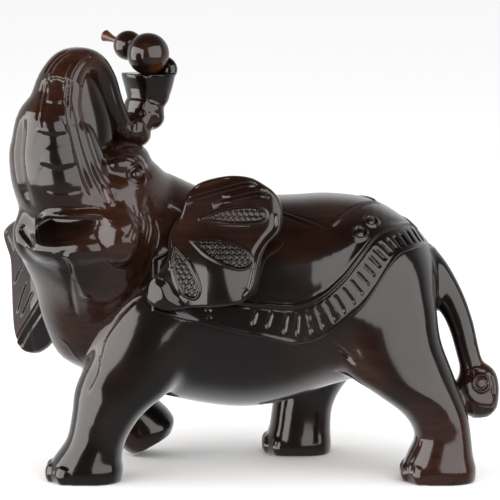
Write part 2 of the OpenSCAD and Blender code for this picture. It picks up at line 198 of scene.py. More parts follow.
# Stations, path and directions of the trunk at fine steps, perStation samples to a station
def trunkPath():
    s = alongStations(trunkStations, perStation)
    path = inHead(s[:, 0], 0, s[:, 1])
    way = unit(np.gradient(path, axis=0))
    return s, path, way


# Trunk from one station to another: superellipses square to its path
def trunkRings(first, last):
    s, path, way = trunkPath()
    pick = slice(first * perStation, last * perStation + 1, 3)
    return superRings(path[pick], np.cross(left, way[pick]), left, s[pick, 2], s[pick, 3], 2.3)


# Stations and directions of the tail; a direction keeps to the plane y = constant
def tailPath():
    s = alongStations(tailStations, perStation)
    way = np.gradient(s[:, :3], axis=0)
    way[:, 1] = 0
    return s, unit(way)


# Tail: superellipses square to its path
def tailRings():
    s, way = tailPath()
    s, way = s[::3], way[::3]
    return superRings(s[:, :3], [0, 1, 0], np.cross(way, [0, 1, 0]), s[:, 3], s[:, 4], 2.4)


# A box of space for a distance field, negative inside the wood, in mm: first sample, sample counts, step
# and reach
def makeRegion(low, high, voxel, band):
    voxel *= 1.0
    first = np.floor(np.array(low) / voxel).astype(int)
    shape = np.ceil(np.array(high) / voxel).astype(int) - first
    return {"first": first, "shape": shape, "voxel": voxel, "band": band}


# A closed loft read as a distance field on the region's grid
def loftField(region, grid):
    points, quads, tris = closedSkin(grid)
    level = openvdb.FloatGrid.createLevelSetFromPolygons(
        points.astype(np.float32), tris.astype(np.uint32), quads.astype(np.uint32),
        transform=openvdb.createLinearTransform(region["voxel"]), halfWidth=region["band"] / region["voxel"])
    out = np.empty(region["shape"], np.float32)
    level.copyToArray(out, ijk=tuple(int(q) for q in region["first"]))
    return out


# Smooth union: the lesser of two distances, less h * h * k / 4 where they differ by under k;
# h = 1 - difference / k
def blendUnion(a, b, k):
    h = np.maximum(k - np.abs(a - b), 0) / k
    return np.minimum(a, b) - h * h * k * 0.25


# Part of the grid within reach of a point: its slices and the offsets from that point
def nearPart(region, centre, reach):
    voxel, first = region["voxel"], region["first"]
    lo = np.clip(np.floor((centre - reach) / voxel).astype(int) - first, 0, region["shape"])
    hi = np.clip(np.ceil((centre + reach) / voxel).astype(int) - first, 0, region["shape"])
    part = tuple(slice(a, b) for a, b in zip(lo, hi))
    axes = [(np.arange(a, b) + f) * voxel - c for a, b, f, c in zip(lo, hi, first, centre)]
    return part, np.stack(np.meshgrid(*axes, indexing="ij"), -1)


# Ellipsoid with its own axes, joined on (k > 0) or scooped out (k < 0); its distance is about
# (|p / r| - 1) * |p / r| / |p / r^2|
def addLump(region, field, centre, radii, k, axes=None):
    centre, radii = np.asarray(centre, float), np.asarray(radii, float)
    part, p = nearPart(region, centre, radii.max() + 2 * abs(k) + 2)
    if 0 in p.shape:
        return
    if axes is not None:
        p = p @ np.stack([np.asarray(a, float) for a in axes], 1)
    q = np.linalg.norm(p / radii, axis=-1)
    d = (q * (q - 1) / np.maximum(np.linalg.norm(p / radii ** 2, axis=-1), 1e-6)).astype(np.float32)
    if k > 0:
        field[part] = blendUnion(field[part], d, k)
    else:
        field[part] = -blendUnion(-field[part], d, -k)


# Zero surface of a field as quads, its points then eased twice towards their neighbours and half back
def fieldSurface(region, field):
    for side in range(3):
        for edge in (0, -1):
            cut = [slice(None)] * 3
            cut[side] = edge
            field[tuple(cut)] = np.maximum(field[tuple(cut)], region["voxel"])
    grid = openvdb.FloatGrid()
    grid.copyFromArray(field, ijk=tuple(int(q) for q in region["first"]), tolerance=0.0)
    grid.transform = openvdb.createLinearTransform(region["voxel"])
    points, tris, quads = grid.convertToPolygons(isovalue=0.0, adaptivity=0.0)
    points, quads = points.astype(float), quads.astype(int)
    a = quads.ravel()
    b = np.roll(quads, -1, 1).ravel()
    count = np.bincount(a, minlength=len(points))[:, None]
    for step in (0.6, -0.62, 0.6, -0.62):
        mean = np.stack([np.bincount(a, points[b, c], len(points)) for c in range(3)], 1)
        back = np.stack([np.bincount(b, points[a, c], len(points)) for c in range(3)], 1)
        points += step * ((mean + back) / np.maximum(2 * count, 1) - points)
    return points, facesOutward(points, quads)


# Faces turned so that the solid's volume is positive
def facesOutward(points, faces):
    a, b, c = points[faces[:, 0]], points[faces[:, 1]], points[faces[:, 2]]
    volume = np.einsum("ij,ij->i", a, np.cross(b, c)).sum()
    if faces.shape[1] == 4:
        d = points[faces[:, 3]]
        volume += np.einsum("ij,ij->i", a, np.cross(c, d)).sum()
    return faces if volume > 0 else faces[:, ::-1]


# A closed skin from a grid of rings, with its quads and end fans facing outwards
def outwardSkin(grid):
    points, quads, tris = closedSkin(grid)
    turned = facesOutward(points, quads)
    return points, turned, tris if turned is quads else tris[:, ::-1]


# Point normals: the sum of the normals of the quads round each point, as cross products of their diagonals
def pointNormals(points, quads):
    n = np.cross(points[quads[:, 2]] - points[quads[:, 0]], points[quads[:, 3]] - points[quads[:, 1]])
    total = np.stack([np.bincount(quads.ravel(), np.repeat(n[:, c], 4), len(points)) for c in range(3)], 1)
    return total / np.maximum(np.linalg.norm(total, axis=1, keepdims=True), 1e-9)


# Carved lines are given in side view as (x, z) and laid on the near skin.
# Height of a line's cut at distance d: groove and ridge are depth * exp(-(d / width)^2); a step raises the
# side left of its course and lowers the other, fading out; a rim is a ridge between two shallow grooves.
def lineProfile(kind, d, side, depth, width, fade):
    core = np.exp(-(d / width) ** 2)
    if kind == "groove":
        return -depth * core
    if kind == "ridge":
        return depth * core
    if kind == "rim":
        return depth * (core - 0.55 * np.exp(-((d - 2.1 * width) / width) ** 2))
    return 0.5 * depth * side * (1 - core) * np.exp(-(d / fade) ** 2)


# Lift of each point by all lines: a line takes its y from the nearest near-side skin, smoothed along it,
# then the lift is the line's profile at the distance in space, eased to 0 over the taper at both ends
def carveLines(points, lines):
    lift = np.zeros(len(points))
    for line in lines:
        kind, depth, width = line["kind"], line["depth"], line["width"]
        fade, taper = line.get("fade", 8 * width), line.get("taper", 3.0)
        path, run = evenCurve(line["path"], 0.45)
        reach = 2.2 * fade if kind == "step" else 4.5 * width
        low, high = path.min(0) - reach, path.max(0) + reach
        near = np.nonzero((points[:, 0] > low[0]) & (points[:, 0] < high[0])
                          & (points[:, 2] > low[1]) & (points[:, 2] < high[1]))[0]
        if len(near) == 0:
            continue
        p = points[near]
        gap = (p[None, :, 0] - path[:, None, 0]) ** 2 + (p[None, :, 2] - path[:, None, 1]) ** 2
        y = p[:, 1][np.argmin(np.where(gap < 2.5, p[:, 1], 500 + gap), axis=1)]
        y = np.convolve(np.pad(y, 4, mode="edge"), np.ones(9) / 9, "valid")
        gap = gap + (p[None, :, 1] - y[:, None]) ** 2
        at = np.argmin(gap, axis=0)
        d = np.sqrt(gap[at, np.arange(len(p))])
        way = np.gradient(path, axis=0)[at]
        side = np.sign(way[:, 0] * (p[:, 2] - path[at, 1]) - way[:, 1] * (p[:, 0] - path[at, 0]))
        ends = np.clip(np.minimum(run[at], run[-1] - run[at]) / max(taper, 0.01), 0, 1) if taper else 1.0
        lift[near] += ends * lineProfile(kind, d, side, depth, width, fade) * (d < reach)
    return lift


# One carved line: its kind, depth and width in mm, path points, and its own fade or taper
def stroke(kind, depth, width, *path, **more):
    return {"kind": kind, "depth": depth, "width": width, "path": path, **more}


# A mesh from points in mm and faces, moved from the layout to the frame and made a piece
def addMesh(name, points, faces, material, node=None, body="figure"):
    mesh = bpy.data.meshes.new(name)
    rows = [face for part in faces for face in part.tolist()]
    mesh.from_pydata(((points + centring) / 1000).tolist(), [], rows)
    mesh.polygons.foreach_set("use_smooth", np.ones(len(mesh.polygons), bool))
    mesh.update()
    return addPiece(name, mesh, material, node, body)


# A mesh made a piece: its material, the body that it rides and the node that it stands for
def addPiece(name, mesh, material, node, body):
    piece = bpy.data.objects.new(name, mesh)
    bpy.context.scene.collection.objects.link(piece)
    mesh.materials.append(material)
    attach(piece, body)
    if node:
        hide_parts(node)
    return piece


# A skin as a bmesh that remembers the normals of the whole, so the cuts leave no seam in the gloss
def skinForCutting(points, quads):
    mesh = bpy.data.meshes.new("skin")
    mesh.from_pydata(points.tolist(), [], quads.tolist())
    own = mesh.attributes.new("wholeNormal", "FLOAT_VECTOR", "POINT")
    own.data.foreach_set("vector", pointNormals(points, quads).astype(np.float32).ravel())
    skin = bmesh.new()
    skin.from_mesh(mesh)
    bpy.data.meshes.remove(mesh)
    skin.faces.layers.int.new("flatCut")
    return skin


zoneDepth = 8      # mm


# Within reach of the point along the plane, and within zoneDepth mm of the plane itself
def inZone(place, point, normal, reach):
    offset = np.array(place) - point
    height = offset @ normal
    return abs(height) < zoneDepth and offset @ offset - height ** 2 < reach ** 2


# Keeps what lies on the positive side of each plane and closes each cut with a flat face; a plane with a
# zone cuts only what is near its point
def cutPiece(name, skin, planes, material, node):
    work = skin.copy()
    flat = work.faces.layers.int["flatCut"]
    for point, normal, *zone in planes:
        faces, edges, verts = work.faces[:], work.edges[:], work.verts[:]
        if zone:
            faces = [f for f in faces if inZone(f.calc_center_median(), point, normal, zone[0])]
            edges = list({e for f in faces for e in f.edges})
            verts = list({v for f in faces for v in f.verts})
        cut = bmesh.ops.bisect_plane(work, geom=verts + edges + faces, dist=1e-5,
                                     plane_co=point, plane_no=normal, clear_inner=True)["geom_cut"]
        rim = [e for e in cut if isinstance(e, bmesh.types.BMEdge) and len(e.link_faces) == 1]
        caps = bmesh.ops.holes_fill(work, edges=rim)["faces"]
        for cap in caps:
            cap[flat] = 1
        if caps and caps[0].normal.dot(normal) > 0.5:
            bmesh.ops.recalc_face_normals(work, faces=work.faces[:])
    keepLargest(work)
    mesh = bpy.data.meshes.new(name)
    work.to_mesh(mesh)
    work.free()
    points = readVectors(mesh.vertices, "co")
    whole = readVectors(mesh.attributes["wholeNormal"].data, "vector")
    corner = np.empty(len(mesh.loops), int)
    mesh.loops.foreach_get("vertex_index", corner)
    faceNormal = readVectors(mesh.polygons, "normal")
    total = np.empty(len(mesh.polygons), int)
    mesh.polygons.foreach_get("loop_total", total)
    isFlat = np.empty(len(mesh.polygons), int)
    mesh.attributes["flatCut"].data.foreach_get("value", isFlat)
    cornerFlat = np.repeat(isFlat, total)[:, None] > 0
    loopNormals = np.where(cornerFlat, np.repeat(faceNormal, total, 0), unit(whole[corner] + 1e-9))
    mesh.vertices.foreach_set("co", ((points + centring) / 1000).ravel())
    mesh.attributes.remove(mesh.attributes["wholeNormal"])
    mesh.attributes.remove(mesh.attributes["flatCut"])
    mesh.polygons.foreach_set("use_smooth", np.ones(len(mesh.polygons), bool))
    mesh.update()
    mesh.normals_split_custom_set(loopNormals.tolist())
    print("piece", name, len(mesh.polygons), "faces")
    return addPiece(name, mesh, material, node, "figure")


# Loose crumbs left by a cut are dropped: only the shell with the most points stays
def keepLargest(work):
    seen, shells = set(), []
    for start in work.verts:
        if start in seen:
            continue
        shell, queue = [], [start]
        seen.add(start)
        while queue:
            v = queue.pop()
            shell.append(v)
            for e in v.link_edges:
                w = e.other_vert(v)
                if w not in seen:
                    seen.add(w)
                    queue.append(w)
        shells.append(shell)
    shells.sort(key=len)
    for shell in shells[:-1]:
        bmesh.ops.delete(work, geom=shell, context="VERTS")


# A vector field of a mesh as an array, one row to an item
def readVectors(data, field):
    out = np.empty(len(data) * 3, np.float32)
    data.foreach_get(field, out)
    return out.reshape(-1, 3).astype(float)


# A shader group with its named inputs and outputs
def newGroup(name, inputs, outputs):
    group = bpy.data.node_groups.new(name, "ShaderNodeTree")
    for label, kind, value in inputs:
        sock = group.interface.new_socket(label, in_out="INPUT", socket_type=kind)
        if value is not None:
            sock.default_value = value
    for label, kind in outputs:
        group.interface.new_socket(label, in_out="OUTPUT", socket_type=kind)
    return group, group.nodes.new("NodeGroupInput"), group.nodes.new("NodeGroupOutput")


# A node with its values set, as a property where it has one and else as an input, and its inputs linked
def addNode(tree, kind, links=(), **values):
    node = tree.nodes.new(kind)
    for key, value in values.items():
        if hasattr(node, key):
            setattr(node, key, value)
        else:
            node.inputs[key.replace("_", " ")].default_value = value
    for sock, source in links:
        tree.links.new(source, node.inputs[sock])
    return node


# Grain: noise stretched along the length of the plank, bent by a slower noise, plus broad cloudy patches
def makeGrainGroup():
    group, source, sink = newGroup(
        "plankGrain",
        [("Grain Size", "NodeSocketFloat", 60.0), ("Stretch", "NodeSocketFloat", 9.0),
         ("Patch Size", "NodeSocketFloat", 14.0)],
        [("Grain", "NodeSocketFloat"), ("Patches", "NodeSocketFloat"), ("Pores", "NodeSocketFloat")])
    place = addNode(group, "ShaderNodeTexCoord").outputs["Object"]
    bend = addNode(group, "ShaderNodeTexNoise", [("Vector", place)], Scale=9.0, Detail=2.0)
    lean = addNode(group, "ShaderNodeVectorMath", [(0, bend.outputs["Color"])], operation="SCALE")
    lean.inputs["Scale"].default_value = 0.02
    moved = addNode(group, "ShaderNodeVectorMath", [(0, place), (1, lean.outputs[0])], operation="ADD")
    squeeze = addNode(group, "ShaderNodeCombineXYZ",
                      [("Y", source.outputs["Stretch"]), ("Z", source.outputs["Stretch"])], X=1.0)
    along = addNode(group, "ShaderNodeVectorMath", [(0, moved.outputs[0]), (1, squeeze.outputs[0])],
                    operation="MULTIPLY")
    fibre = addNode(group, "ShaderNodeTexNoise",
                    [("Vector", along.outputs[0]), ("Scale", source.outputs["Grain Size"])],
                    Detail=6.0, Roughness=0.62)
    cloud = addNode(group, "ShaderNodeTexNoise",
                    [("Vector", moved.outputs[0]), ("Scale", source.outputs["Patch Size"])],
                    Detail=3.0, Roughness=0.5)
    poreSize = addNode(group, "ShaderNodeMath", [(0, source.outputs["Grain Size"])], operation="MULTIPLY")
    poreSize.inputs[1].default_value = 6.0
    pores = addNode(group, "ShaderNodeTexNoise",
                    [("Vector", along.outputs[0]), ("Scale", poreSize.outputs[0])], Detail=2.0)
    for label, node in (("Grain", fibre), ("Patches", cloud), ("Pores", pores)):
        group.links.new(node.outputs["Fac"], sink.inputs[label])
    return group


grainGroup = makeGrainGroup()

darkWood = {"name": "darkLacqueredWood", "deep": (0.0026, 0.0014, 0.0011), "warm": (0.024, 0.0074, 0.0034),
            "patchFrom": 0.38, "patchTo": 0.68, "grainFrom": 0.34, "grainTo": 0.66, "grainSize": 34.0,
            "stretch": 8.0, "patchSize": 11.0, "pore": 0.00002, "roughness": 0.34, "specular": 0.08,
            "coat": 1.0, "coatRoughness": 0.11}
gourdWood = dict(darkWood, name="brownLacqueredWood", deep=(0.008, 0.0030, 0.0016),
                 warm=(0.105, 0.034, 0.010), patchFrom=0.42, patchTo=0.66, patchSize=30.0,
                 grainSize=70.0, coatRoughness=0.07)
eyeWood = dict(darkWood, name="polishedEyeWood", coatRoughness=0.05)
dowelWood = dict(darkWood, name="paleDowelWood", deep=(0.32, 0.19, 0.09), warm=(0.52, 0.34, 0.18),
                 coat=0.0, roughness=0.6, grainSize=60.0)


# Colour runs from deep to warm with patches * grain; the lacquer is a clear coat over it
def makeWood(setup):
    material = bpy.data.materials.new(setup["name"])
    material.use_nodes = True
    tree = material.node_tree
    shader = tree.nodes["Principled BSDF"]
    grain = addNode(tree, "ShaderNodeGroup", node_tree=grainGroup)
    for label, key in (("Grain Size", "grainSize"), ("Stretch", "stretch"), ("Patch Size", "patchSize")):
        grain.inputs[label].default_value = setup[key]
    spread = {}
    for label, low, high in (("Patches", "patchFrom", "patchTo"), ("Grain", "grainFrom", "grainTo")):
        ramp = addNode(tree, "ShaderNodeMapRange", [("Value", grain.outputs[label])],
                       interpolation_type="SMOOTHSTEP")
        ramp.inputs["From Min"].default_value = setup[low]
        ramp.inputs["From Max"].default_value = setup[high]
        spread[label] = ramp.outputs["Result"]
    amount = addNode(tree, "ShaderNodeMath", [(0, spread["Patches"]), (1, spread["Grain"])],
                     operation="MULTIPLY")
    soft = addNode(tree, "ShaderNodeMath", [(0, spread["Patches"]), (1, amount.outputs[0])], operation="ADD")
    half = addNode(tree, "ShaderNodeMath", [(0, soft.outputs[0])], operation="MULTIPLY")
    half.inputs[1].default_value = 0.5
    colour = addNode(tree, "ShaderNodeMix", [("Factor", half.outputs[0])], data_type="RGBA")
    colour.inputs[6].default_value = (*setup["deep"], 1)
    colour.inputs[7].default_value = (*setup["warm"], 1)
    tree.links.new(colour.outputs[2], shader.inputs["Base Color"])
    bump = addNode(tree, "ShaderNodeBump", [("Height", grain.outputs["Pores"])], Strength=0.35)
    bump.inputs["Distance"].default_value = setup["pore"]
    tree.links.new(bump.outputs["Normal"], shader.inputs["Normal"])
    shader.inputs["Roughness"].default_value = setup["roughness"]
    shader.inputs["Specular IOR Level"].default_value = setup["specular"]
    shader.inputs["Coat Weight"].default_value = setup["coat"]
    shader.inputs["Coat Roughness"].default_value = setup["coatRoughness"]
    return material


darkMaterial, gourdMaterial = makeWood(darkWood), makeWood(gourdWood)
eyeMaterial, dowelMaterial = makeWood(eyeWood), makeWood(dowelWood)
for hidden in ("neck_dowels", "trunk_dowels", "leg_dowels", "tail_dowel", "gourd_peg"):
    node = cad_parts[hidden]
    node.data.materials.clear()
    node.data.materials.append(dowelMaterial)
print("woods ready")

# Head and trunk column: the glue planes at the trunk's foot and at its split, and the turned face's own axes
_, trunkLine, trunkWay = trunkPath()
footPlane = (trunkLine[trunkFoot * perStation], trunkWay[trunkFoot * perStation])
splitPlane = (trunkLine[trunkSplit * perStation], trunkWay[trunkSplit * perStation])
faceTurn = math.radians(70)
faceOut = np.array([-math.cos(faceTurn), -math.sin(faceTurn), 0])
faceLeft = np.array([math.sin(faceTurn), -math.cos(faceTurn), 0])


# Place from the face's own axes: headAt + faceOut * out + faceLeft * along + up * z
def onFace(out, along, z):
    return headAt + faceOut * out + faceLeft * along + up * z


# Mouth bowl: out from the head's axis, z, half height, half width; a hollow behind the lower lip
mouthStations = [[54, 153.5, 8.6, 22.5], [44, 155.5, 8, 21], [37, 158.5, 6.5, 18], [31, 161, 4, 13]]
mouthTop, mouthLean = 160.3, math.radians(9)
headSetup = {"voxel": 0.78, "band": 8.5, "blend": 7.0, "mouthBlend": 1.3}
headLines = [
    stroke("rim", 1.4, 1.5, (-97.5, 238), (-98.5, 226), (-95.5, 213), (-92.5, 202), (-87.5, 187),
           (-82.5, 177), (-78.5, 168)),
    stroke("groove", 1.5, 2.2, (-103, 226), (-102, 214), (-99.5, 203), (-96, 190), (-91.5, 178), (-88, 170),
           taper=8),
    stroke("groove", 2.2, 3.4, (-131, 220), (-133.5, 206), (-134, 192), (-131.5, 177), (-127, 165), taper=10),
    stroke("rim", 0.8, 0.95, (-118, 241), (-119.5, 232), (-120, 222), (-121, 213)),
    stroke("rim", 0.8, 0.95, (-106, 240), (-106.5, 232), (-106, 223), (-104, 214.5)),
    stroke("rim", 0.8, 0.95, (-103, 241), (-103.5, 231), (-103, 222), (-101, 213)),
    stroke("step", 1.5, 0.7, (-117, 240), (-111, 241), (-106, 239.5), fade=6, taper=1),
    stroke("step", 1.2, 0.7, (-118, 228), (-112, 227.5), (-106, 228), fade=6, taper=1),
    stroke("step", 1.7, 0.9, (-123, 212), (-117, 210.5), (-112, 210), (-104, 211), fade=9, taper=2),
    stroke("step", 1.4, 0.8, (-121, 194), (-115, 192), (-109, 191), (-99, 193), fade=9, taper=3),
    stroke("groove", 0.7, 0.8, (-118, 178), (-111, 176), (-105, 176), (-97, 177.5)),
    stroke("ridge", 2.4, 1.7, (-122, 158.5), (-117, 162.6), (-110, 162.9), (-101, 162.9), (-90, 163.2),
           (-85, 162.2), (-79, 159.5)),
    stroke("groove", 1.0, 1.0, (-119, 166), (-110, 166.8), (-100, 166.8), (-90, 167.2), (-83, 166)),
    stroke("step", -2.0, 2.2, (-113, 143), (-109, 138), (-107.5, 131), (-108, 124), fade=9, taper=5),
    stroke("ridge", 1.6, 2.6, (-106, 142), (-102, 133), (-98, 122), (-95, 112)),
    stroke("groove", 1.4, 1.9, (-108, 139), (-105.5, 128), (-104.5, 112), (-103, 98)),
    stroke("groove", 2.4, 3.0, (-135, 156), (-131.5, 151), (-128.5, 146), (-127, 142)),
    stroke("step", 1.6, 0.8, (-71, 150), (-67, 158), (-69.5, 165), (-74, 171), fade=5),
    stroke("rim", 0.8, 0.8, (-69, 149), (-66, 154), (-65, 161), (-68, 168)),
    stroke("rim", 0.8, 0.8, (-62.5, 149), (-62, 157), (-65, 163)),
    stroke("rim", 0.8, 0.8, (-60, 142), (-58, 155), (-61, 162)),
    stroke("rim", 0.7, 0.7, (-56, 139), (-54, 149), (-56, 158)),
    stroke("rim", 1.0, 0.8, (-77, 195), (-70, 195), (-63.5, 190.5), (-59.5, 185), (-57, 180)),
    stroke("rim", 0.8, 0.7, (-72.5, 193.5), (-66.5, 191.5), (-62, 187.5), (-59.5, 179.5)),
    stroke("ridge", 0.8, 2.4, (-86, 193), (-85, 187), (-82, 181), (-79, 175)),
]


# Skull, nape and throat smoothly joined
def skullParts(region):
    skull = loftField(region, skullRings())
    throat = loftField(region, throatRings())
    nape = loftField(region, napeRings())
    return blendUnion(blendUnion(skull, nape, 8), throat, 7)


# The whole body's field: barrel, the named legs, head and neck, and where wanted the trunk and tail
def bodyField(region, legs, trunk=None, tail=False):
    field = loftField(region, torsoRings())
    for name in legs:
        field = blendUnion(field, loftField(region, legRings(name)), 6)
    field = blendUnion(field, skullParts(region), 8)
    if trunk:
        field = blendUnion(field, loftField(region, trunkRings(*trunk)), 5)
    if tail:
        field = blendUnion(field, loftField(region, tailRings()), 5)
    return field


# Eye: a socket ring, height 1.2 * exp(-((r - 6) / 0.95)^2) less a moat at r = 4.3, r measured across the
# way it faces
def eyeRelief(points, centre, facing):
    gap = points - centre
    depth = gap @ facing
    r = np.sqrt(np.maximum((gap ** 2).sum(1) - depth ** 2, 0))
    shape = 1.2 * np.exp(-((r - 6.0) / 0.95) ** 2) - 1.3 * np.exp(-((r - 4.3) / 0.85) ** 2)
    return shape * (np.abs(depth) < 9)


# An eye faces out to its own side and a little forward: left * side * 0.8 + forward * 0.25, made one long
def eyeFacing(side):
    return unit(left * side * 0.8 + forward * 0.25)


# Head: body field plus cheeks, brows and crown, less the mouth's bowl below its straight top, then carved
# and cut
def buildHead():
    region = makeRegion((-153, -84, 56), (2, 54, 246), headSetup["voxel"], headSetup["band"])
    field = bodyField(region, ("leg_front_left", "leg_front_right"), (0, 8))
    addLump(region, field, onFace(37, 0, 143), (12, 25, 9), 5, (faceOut, faceLeft, up))  # lower lip and chin
    addLump(region, field, onFace(30, 30, 149), (11, 11, 15), 6, (faceOut, faceLeft, up))  # near cheek
    addLump(region, field, onFace(28, -29, 148), (10, 8, 13), 6, (faceOut, faceLeft, up))  # far cheek
    addLump(region, field, inHead(-3, 27, 190), (12, 7, 6), 5, (forward, left, up))  # near brow
    addLump(region, field, inHead(-3, -27, 190), (12, 7, 6), 5, (forward, left, up))  # far brow
    addLump(region, field, inHead(-17, 0, 192), (19, 21, 9), 6, (forward, left, up))  # crown
    s = alongStations(mouthStations, 4)
    lean = faceLeft * math.cos(mouthLean) + up * math.sin(mouthLean)
    rise = up * math.cos(mouthLean) - faceLeft * math.sin(mouthLean)
    rings = superRings(headAt + faceOut * s[:, :1] + up * s[:, 1:2], lean, rise, s[:, 3], s[:, 2])
    bowl = loftField(region, rings)
    height = (np.arange(field.shape[2]) + region["first"][2]) * region["voxel"]
    bowl = np.maximum(bowl, height - mouthTop)
    field = -blendUnion(-field, bowl, headSetup["mouthBlend"])
    points, quads = fieldSurface(region, field)
    lift = carveLines(points, headLines)
    for side in (1, -1):
        lift += eyeRelief(points, eyeAt(side), eyeFacing(side))
    points = points + pointNormals(points, quads) * lift[:, None]
    skin = skinForCutting(points, quads)
    headPlanes = [(neckPoint, neckNormal), (footPlane[0], -footPlane[1])]
    cutPiece("headCarving", skin, headPlanes, darkMaterial, "head")
    columnPlanes = [footPlane, (splitPlane[0], -splitPlane[1])]
    cutPiece("trunkColumnCarving", skin, columnPlanes, darkMaterial, "trunk_column")
    skin.free()


# Middle of an eye's socket, side 1 near and -1 far
def eyeAt(side):
    return inHead(-5, side * 31.5, 184)


buildHead()

# Curled trunk: lobes are the scale's ends in stations, scales the lumps at u, z, half across, half high,
# half wide
curlSetup = {"voxel": 0.58, "band": 7.0, "swell": 0.17, "splitReach": 19.0, "lobes": (11.8, 13.0, 14.2, 16.4),
             "scales": [(-33, 203, 11, 8, 10), (-44, 213, 12.5, 8.5, 8.5), (-46.5, 225, 13.5, 8, 9),
                        (-57.5, 241, 11, 8, 6)]}
ballRadius, seatRoom = 12.6, 0.3
ballAt = trunkLine[-1] + up * (ballRadius - 1)
curlLines = [
    stroke("rim", 0.9, 1.1, (-118, 243), (-115, 249), (-110, 254), (-105, 256.5), taper=2),
    stroke("rim", 0.9, 1.1, (-104, 239), (-102, 245), (-97, 252), (-92, 255), taper=2),
    stroke("groove", 0.9, 1.0, (-113, 250.5), (-108, 251.6), (-102, 251), taper=1),
    stroke("step", 2.0, 1.1, (-62, 217), (-60, 225), (-59, 233), (-58.5, 239), fade=5, taper=1),
    stroke("groove", 1.0, 1.1, (-71, 217), (-67, 215), (-62.5, 217), taper=2),
    stroke("groove", 1.2, 1.1, (-70, 213), (-71.5, 207), (-72, 201)),
    stroke("groove", 1.1, 1.0, (-75, 214), (-77, 206)),
    stroke("groove", 0.9, 0.9, (-65.5, 214), (-66, 206)),
    stroke("ridge", 0.9, 1.6, (-88, 203), (-80, 201), (-74, 200)),
]


# Tip scales: the trunk's rings swell by swell * phase * (1 - phase^8) along each scale, phase 0 to 1
def curlRings():
    s, path, way = trunkPath()
    t = np.arange(len(s)) / perStation
    low = np.searchsorted(curlSetup["lobes"], t, side="right") - 1
    edges = np.array(curlSetup["lobes"])
    inLobe = (low >= 0) & (low < len(edges) - 1)
    low = np.clip(low, 0, len(edges) - 2)
    phase = np.clip((t - edges[low]) / (edges[low + 1] - edges[low]), 0, 1)
    grow = np.where(inLobe, 0.93 + curlSetup["swell"] * phase * (1 - phase ** 8), 1.0)
    ease = np.clip((t - edges[0]) / 0.5, 0, 1)
    grow = 1 + (grow - 1) * ease
    pick = slice((trunkSplit - 1) * perStation, len(s))
    return superRings(path[pick], np.cross(left, way[pick]), left, s[pick, 2] * grow[pick],
                      s[pick, 3] * grow[pick], 2.4)


# Curl: trunk rings and scale lumps, less the gourd's seat, a sphere of ball radius plus room, then carved
# and cut
def buildCurl():
    region = makeRegion((-127, -70, 192), (-40, 20, 261), curlSetup["voxel"], curlSetup["band"])
    field = loftField(region, curlRings())
    for u, z, across, high, wide in curlSetup["scales"]:
        addLump(region, field, inHead(u, 0, z), (wide, across, high), 1.5, (forward, left, up))
    seat = ballRadius + seatRoom
    addLump(region, field, ballAt, (seat, seat, seat), -0.6)
    points, quads = fieldSurface(region, field)
    lift = carveLines(points, curlLines)
    lift *= np.linalg.norm(points - ballAt, axis=1) > seat + 0.6
    points = points + pointNormals(points, quads) * lift[:, None]
    skin = skinForCutting(points, quads)
    cutPiece("trunkCurlCarving", skin, [(*splitPlane, curlSetup["splitReach"])], darkMaterial, "trunk_curl")
    skin.free()


buildCurl()

# Saddle blanket: a thin slab over the barrel, carved with a border, fringe, seams and studs; thick is
# (angle, mm)
blanketSetup = {"thick": [(0, -1.0), (30, -0.8), (60, 0.4), (85, 1.2)], "under": -2.2, "sink": 2.0,
                "along": 256, "across": 264, "rear": 110.0, "underSteps": 4, "front": (-8.0, -58.0),
                "fringeDepth": 1.5, "fringeWidth": 0.72, "border": 1.0, "stud": 4.4}
# x, then the edge's and the border's angle from the spine in degrees
blanketEdge = [
    [-60, 91, 74], [-40, 95, 77], [-26, 97, 80], [-11, 99.5, 82], [6, 102, 84], [17, 105.5, 86],
    [26, 108, 87], [36, 108.5, 86.5], [46, 106.5, 83], [56, 101, 75], [66, 94, 63], [74, 84, 51],
    [80, 74, 45], [88, 62, 36], [94, 57, 20], [99, 51.5, 4], [104, 42, -6], [108, 22, -6], [110, 0.6, -6]]
# fringe cuts: x and angle at the border, x and angle at the edge
fringeCuts = [
    (4.4, 86, 0.9, 96), (13.4, 87, 9.3, 98.5), (21.9, 88, 19.5, 102.5), (28.2, 88, 27.2, 104.5),
    (33.5, 88, 36.2, 105.5), (38.5, 86.5, 43.2, 104), (43.2, 85, 50, 101.5), (47.8, 83, 56, 97.5),
    (52.2, 79.5, 62, 93), (56.5, 75.5, 67, 88.5), (60.1, 71.5, 71, 83.5), (63.7, 67, 74.6, 78.3),
    (67.3, 62, 78, 73), (70.4, 57.5, 81.4, 68), (74, 53.2, 84.6, 64), (78.5, 49, 87.8, 60.5),
    (82.9, 44.5, 91.2, 57.5), (87.3, 38.5, 94.8, 54), (91.5, 29.5, 98.6, 49.5), (95, 18, 102, 43),
    (98, 7, 104.6, 33)]
blanketLines = [
    stroke("rim", 0.8, 0.75, (-6, 12), (8, 22), (26, 35), (36, 42), (44, 48), taper=1),
    stroke("rim", 0.9, 0.75, (48, 46), (55, 37.5), (65, 24), (71, 14), (76, 4), taper=1),
    stroke("groove", 0.7, 0.7, (-27, 88), (-22, 88), taper=2),
    stroke("groove", 0.7, 0.7, (-26, 92), (-22, 92), taper=2)]
blanketStuds = [(71.5, 39.5), (64.5, 50)]


# The edge's and border's angle at x, from the table smoothed over 7 mm
def blanketAngles(x):
    table = np.array(blanketEdge, float)
    fine = np.arange(-75, 126, 1.0)
    rows = [np.interp(fine, table[:, 0], table[:, k]) for k in (1, 2)]
    soft = [np.convolve(row, np.hanning(11)[1:-1] / 5, "valid") for row in rows]
    return [np.interp(x, fine[4:-4], row) for row in soft]
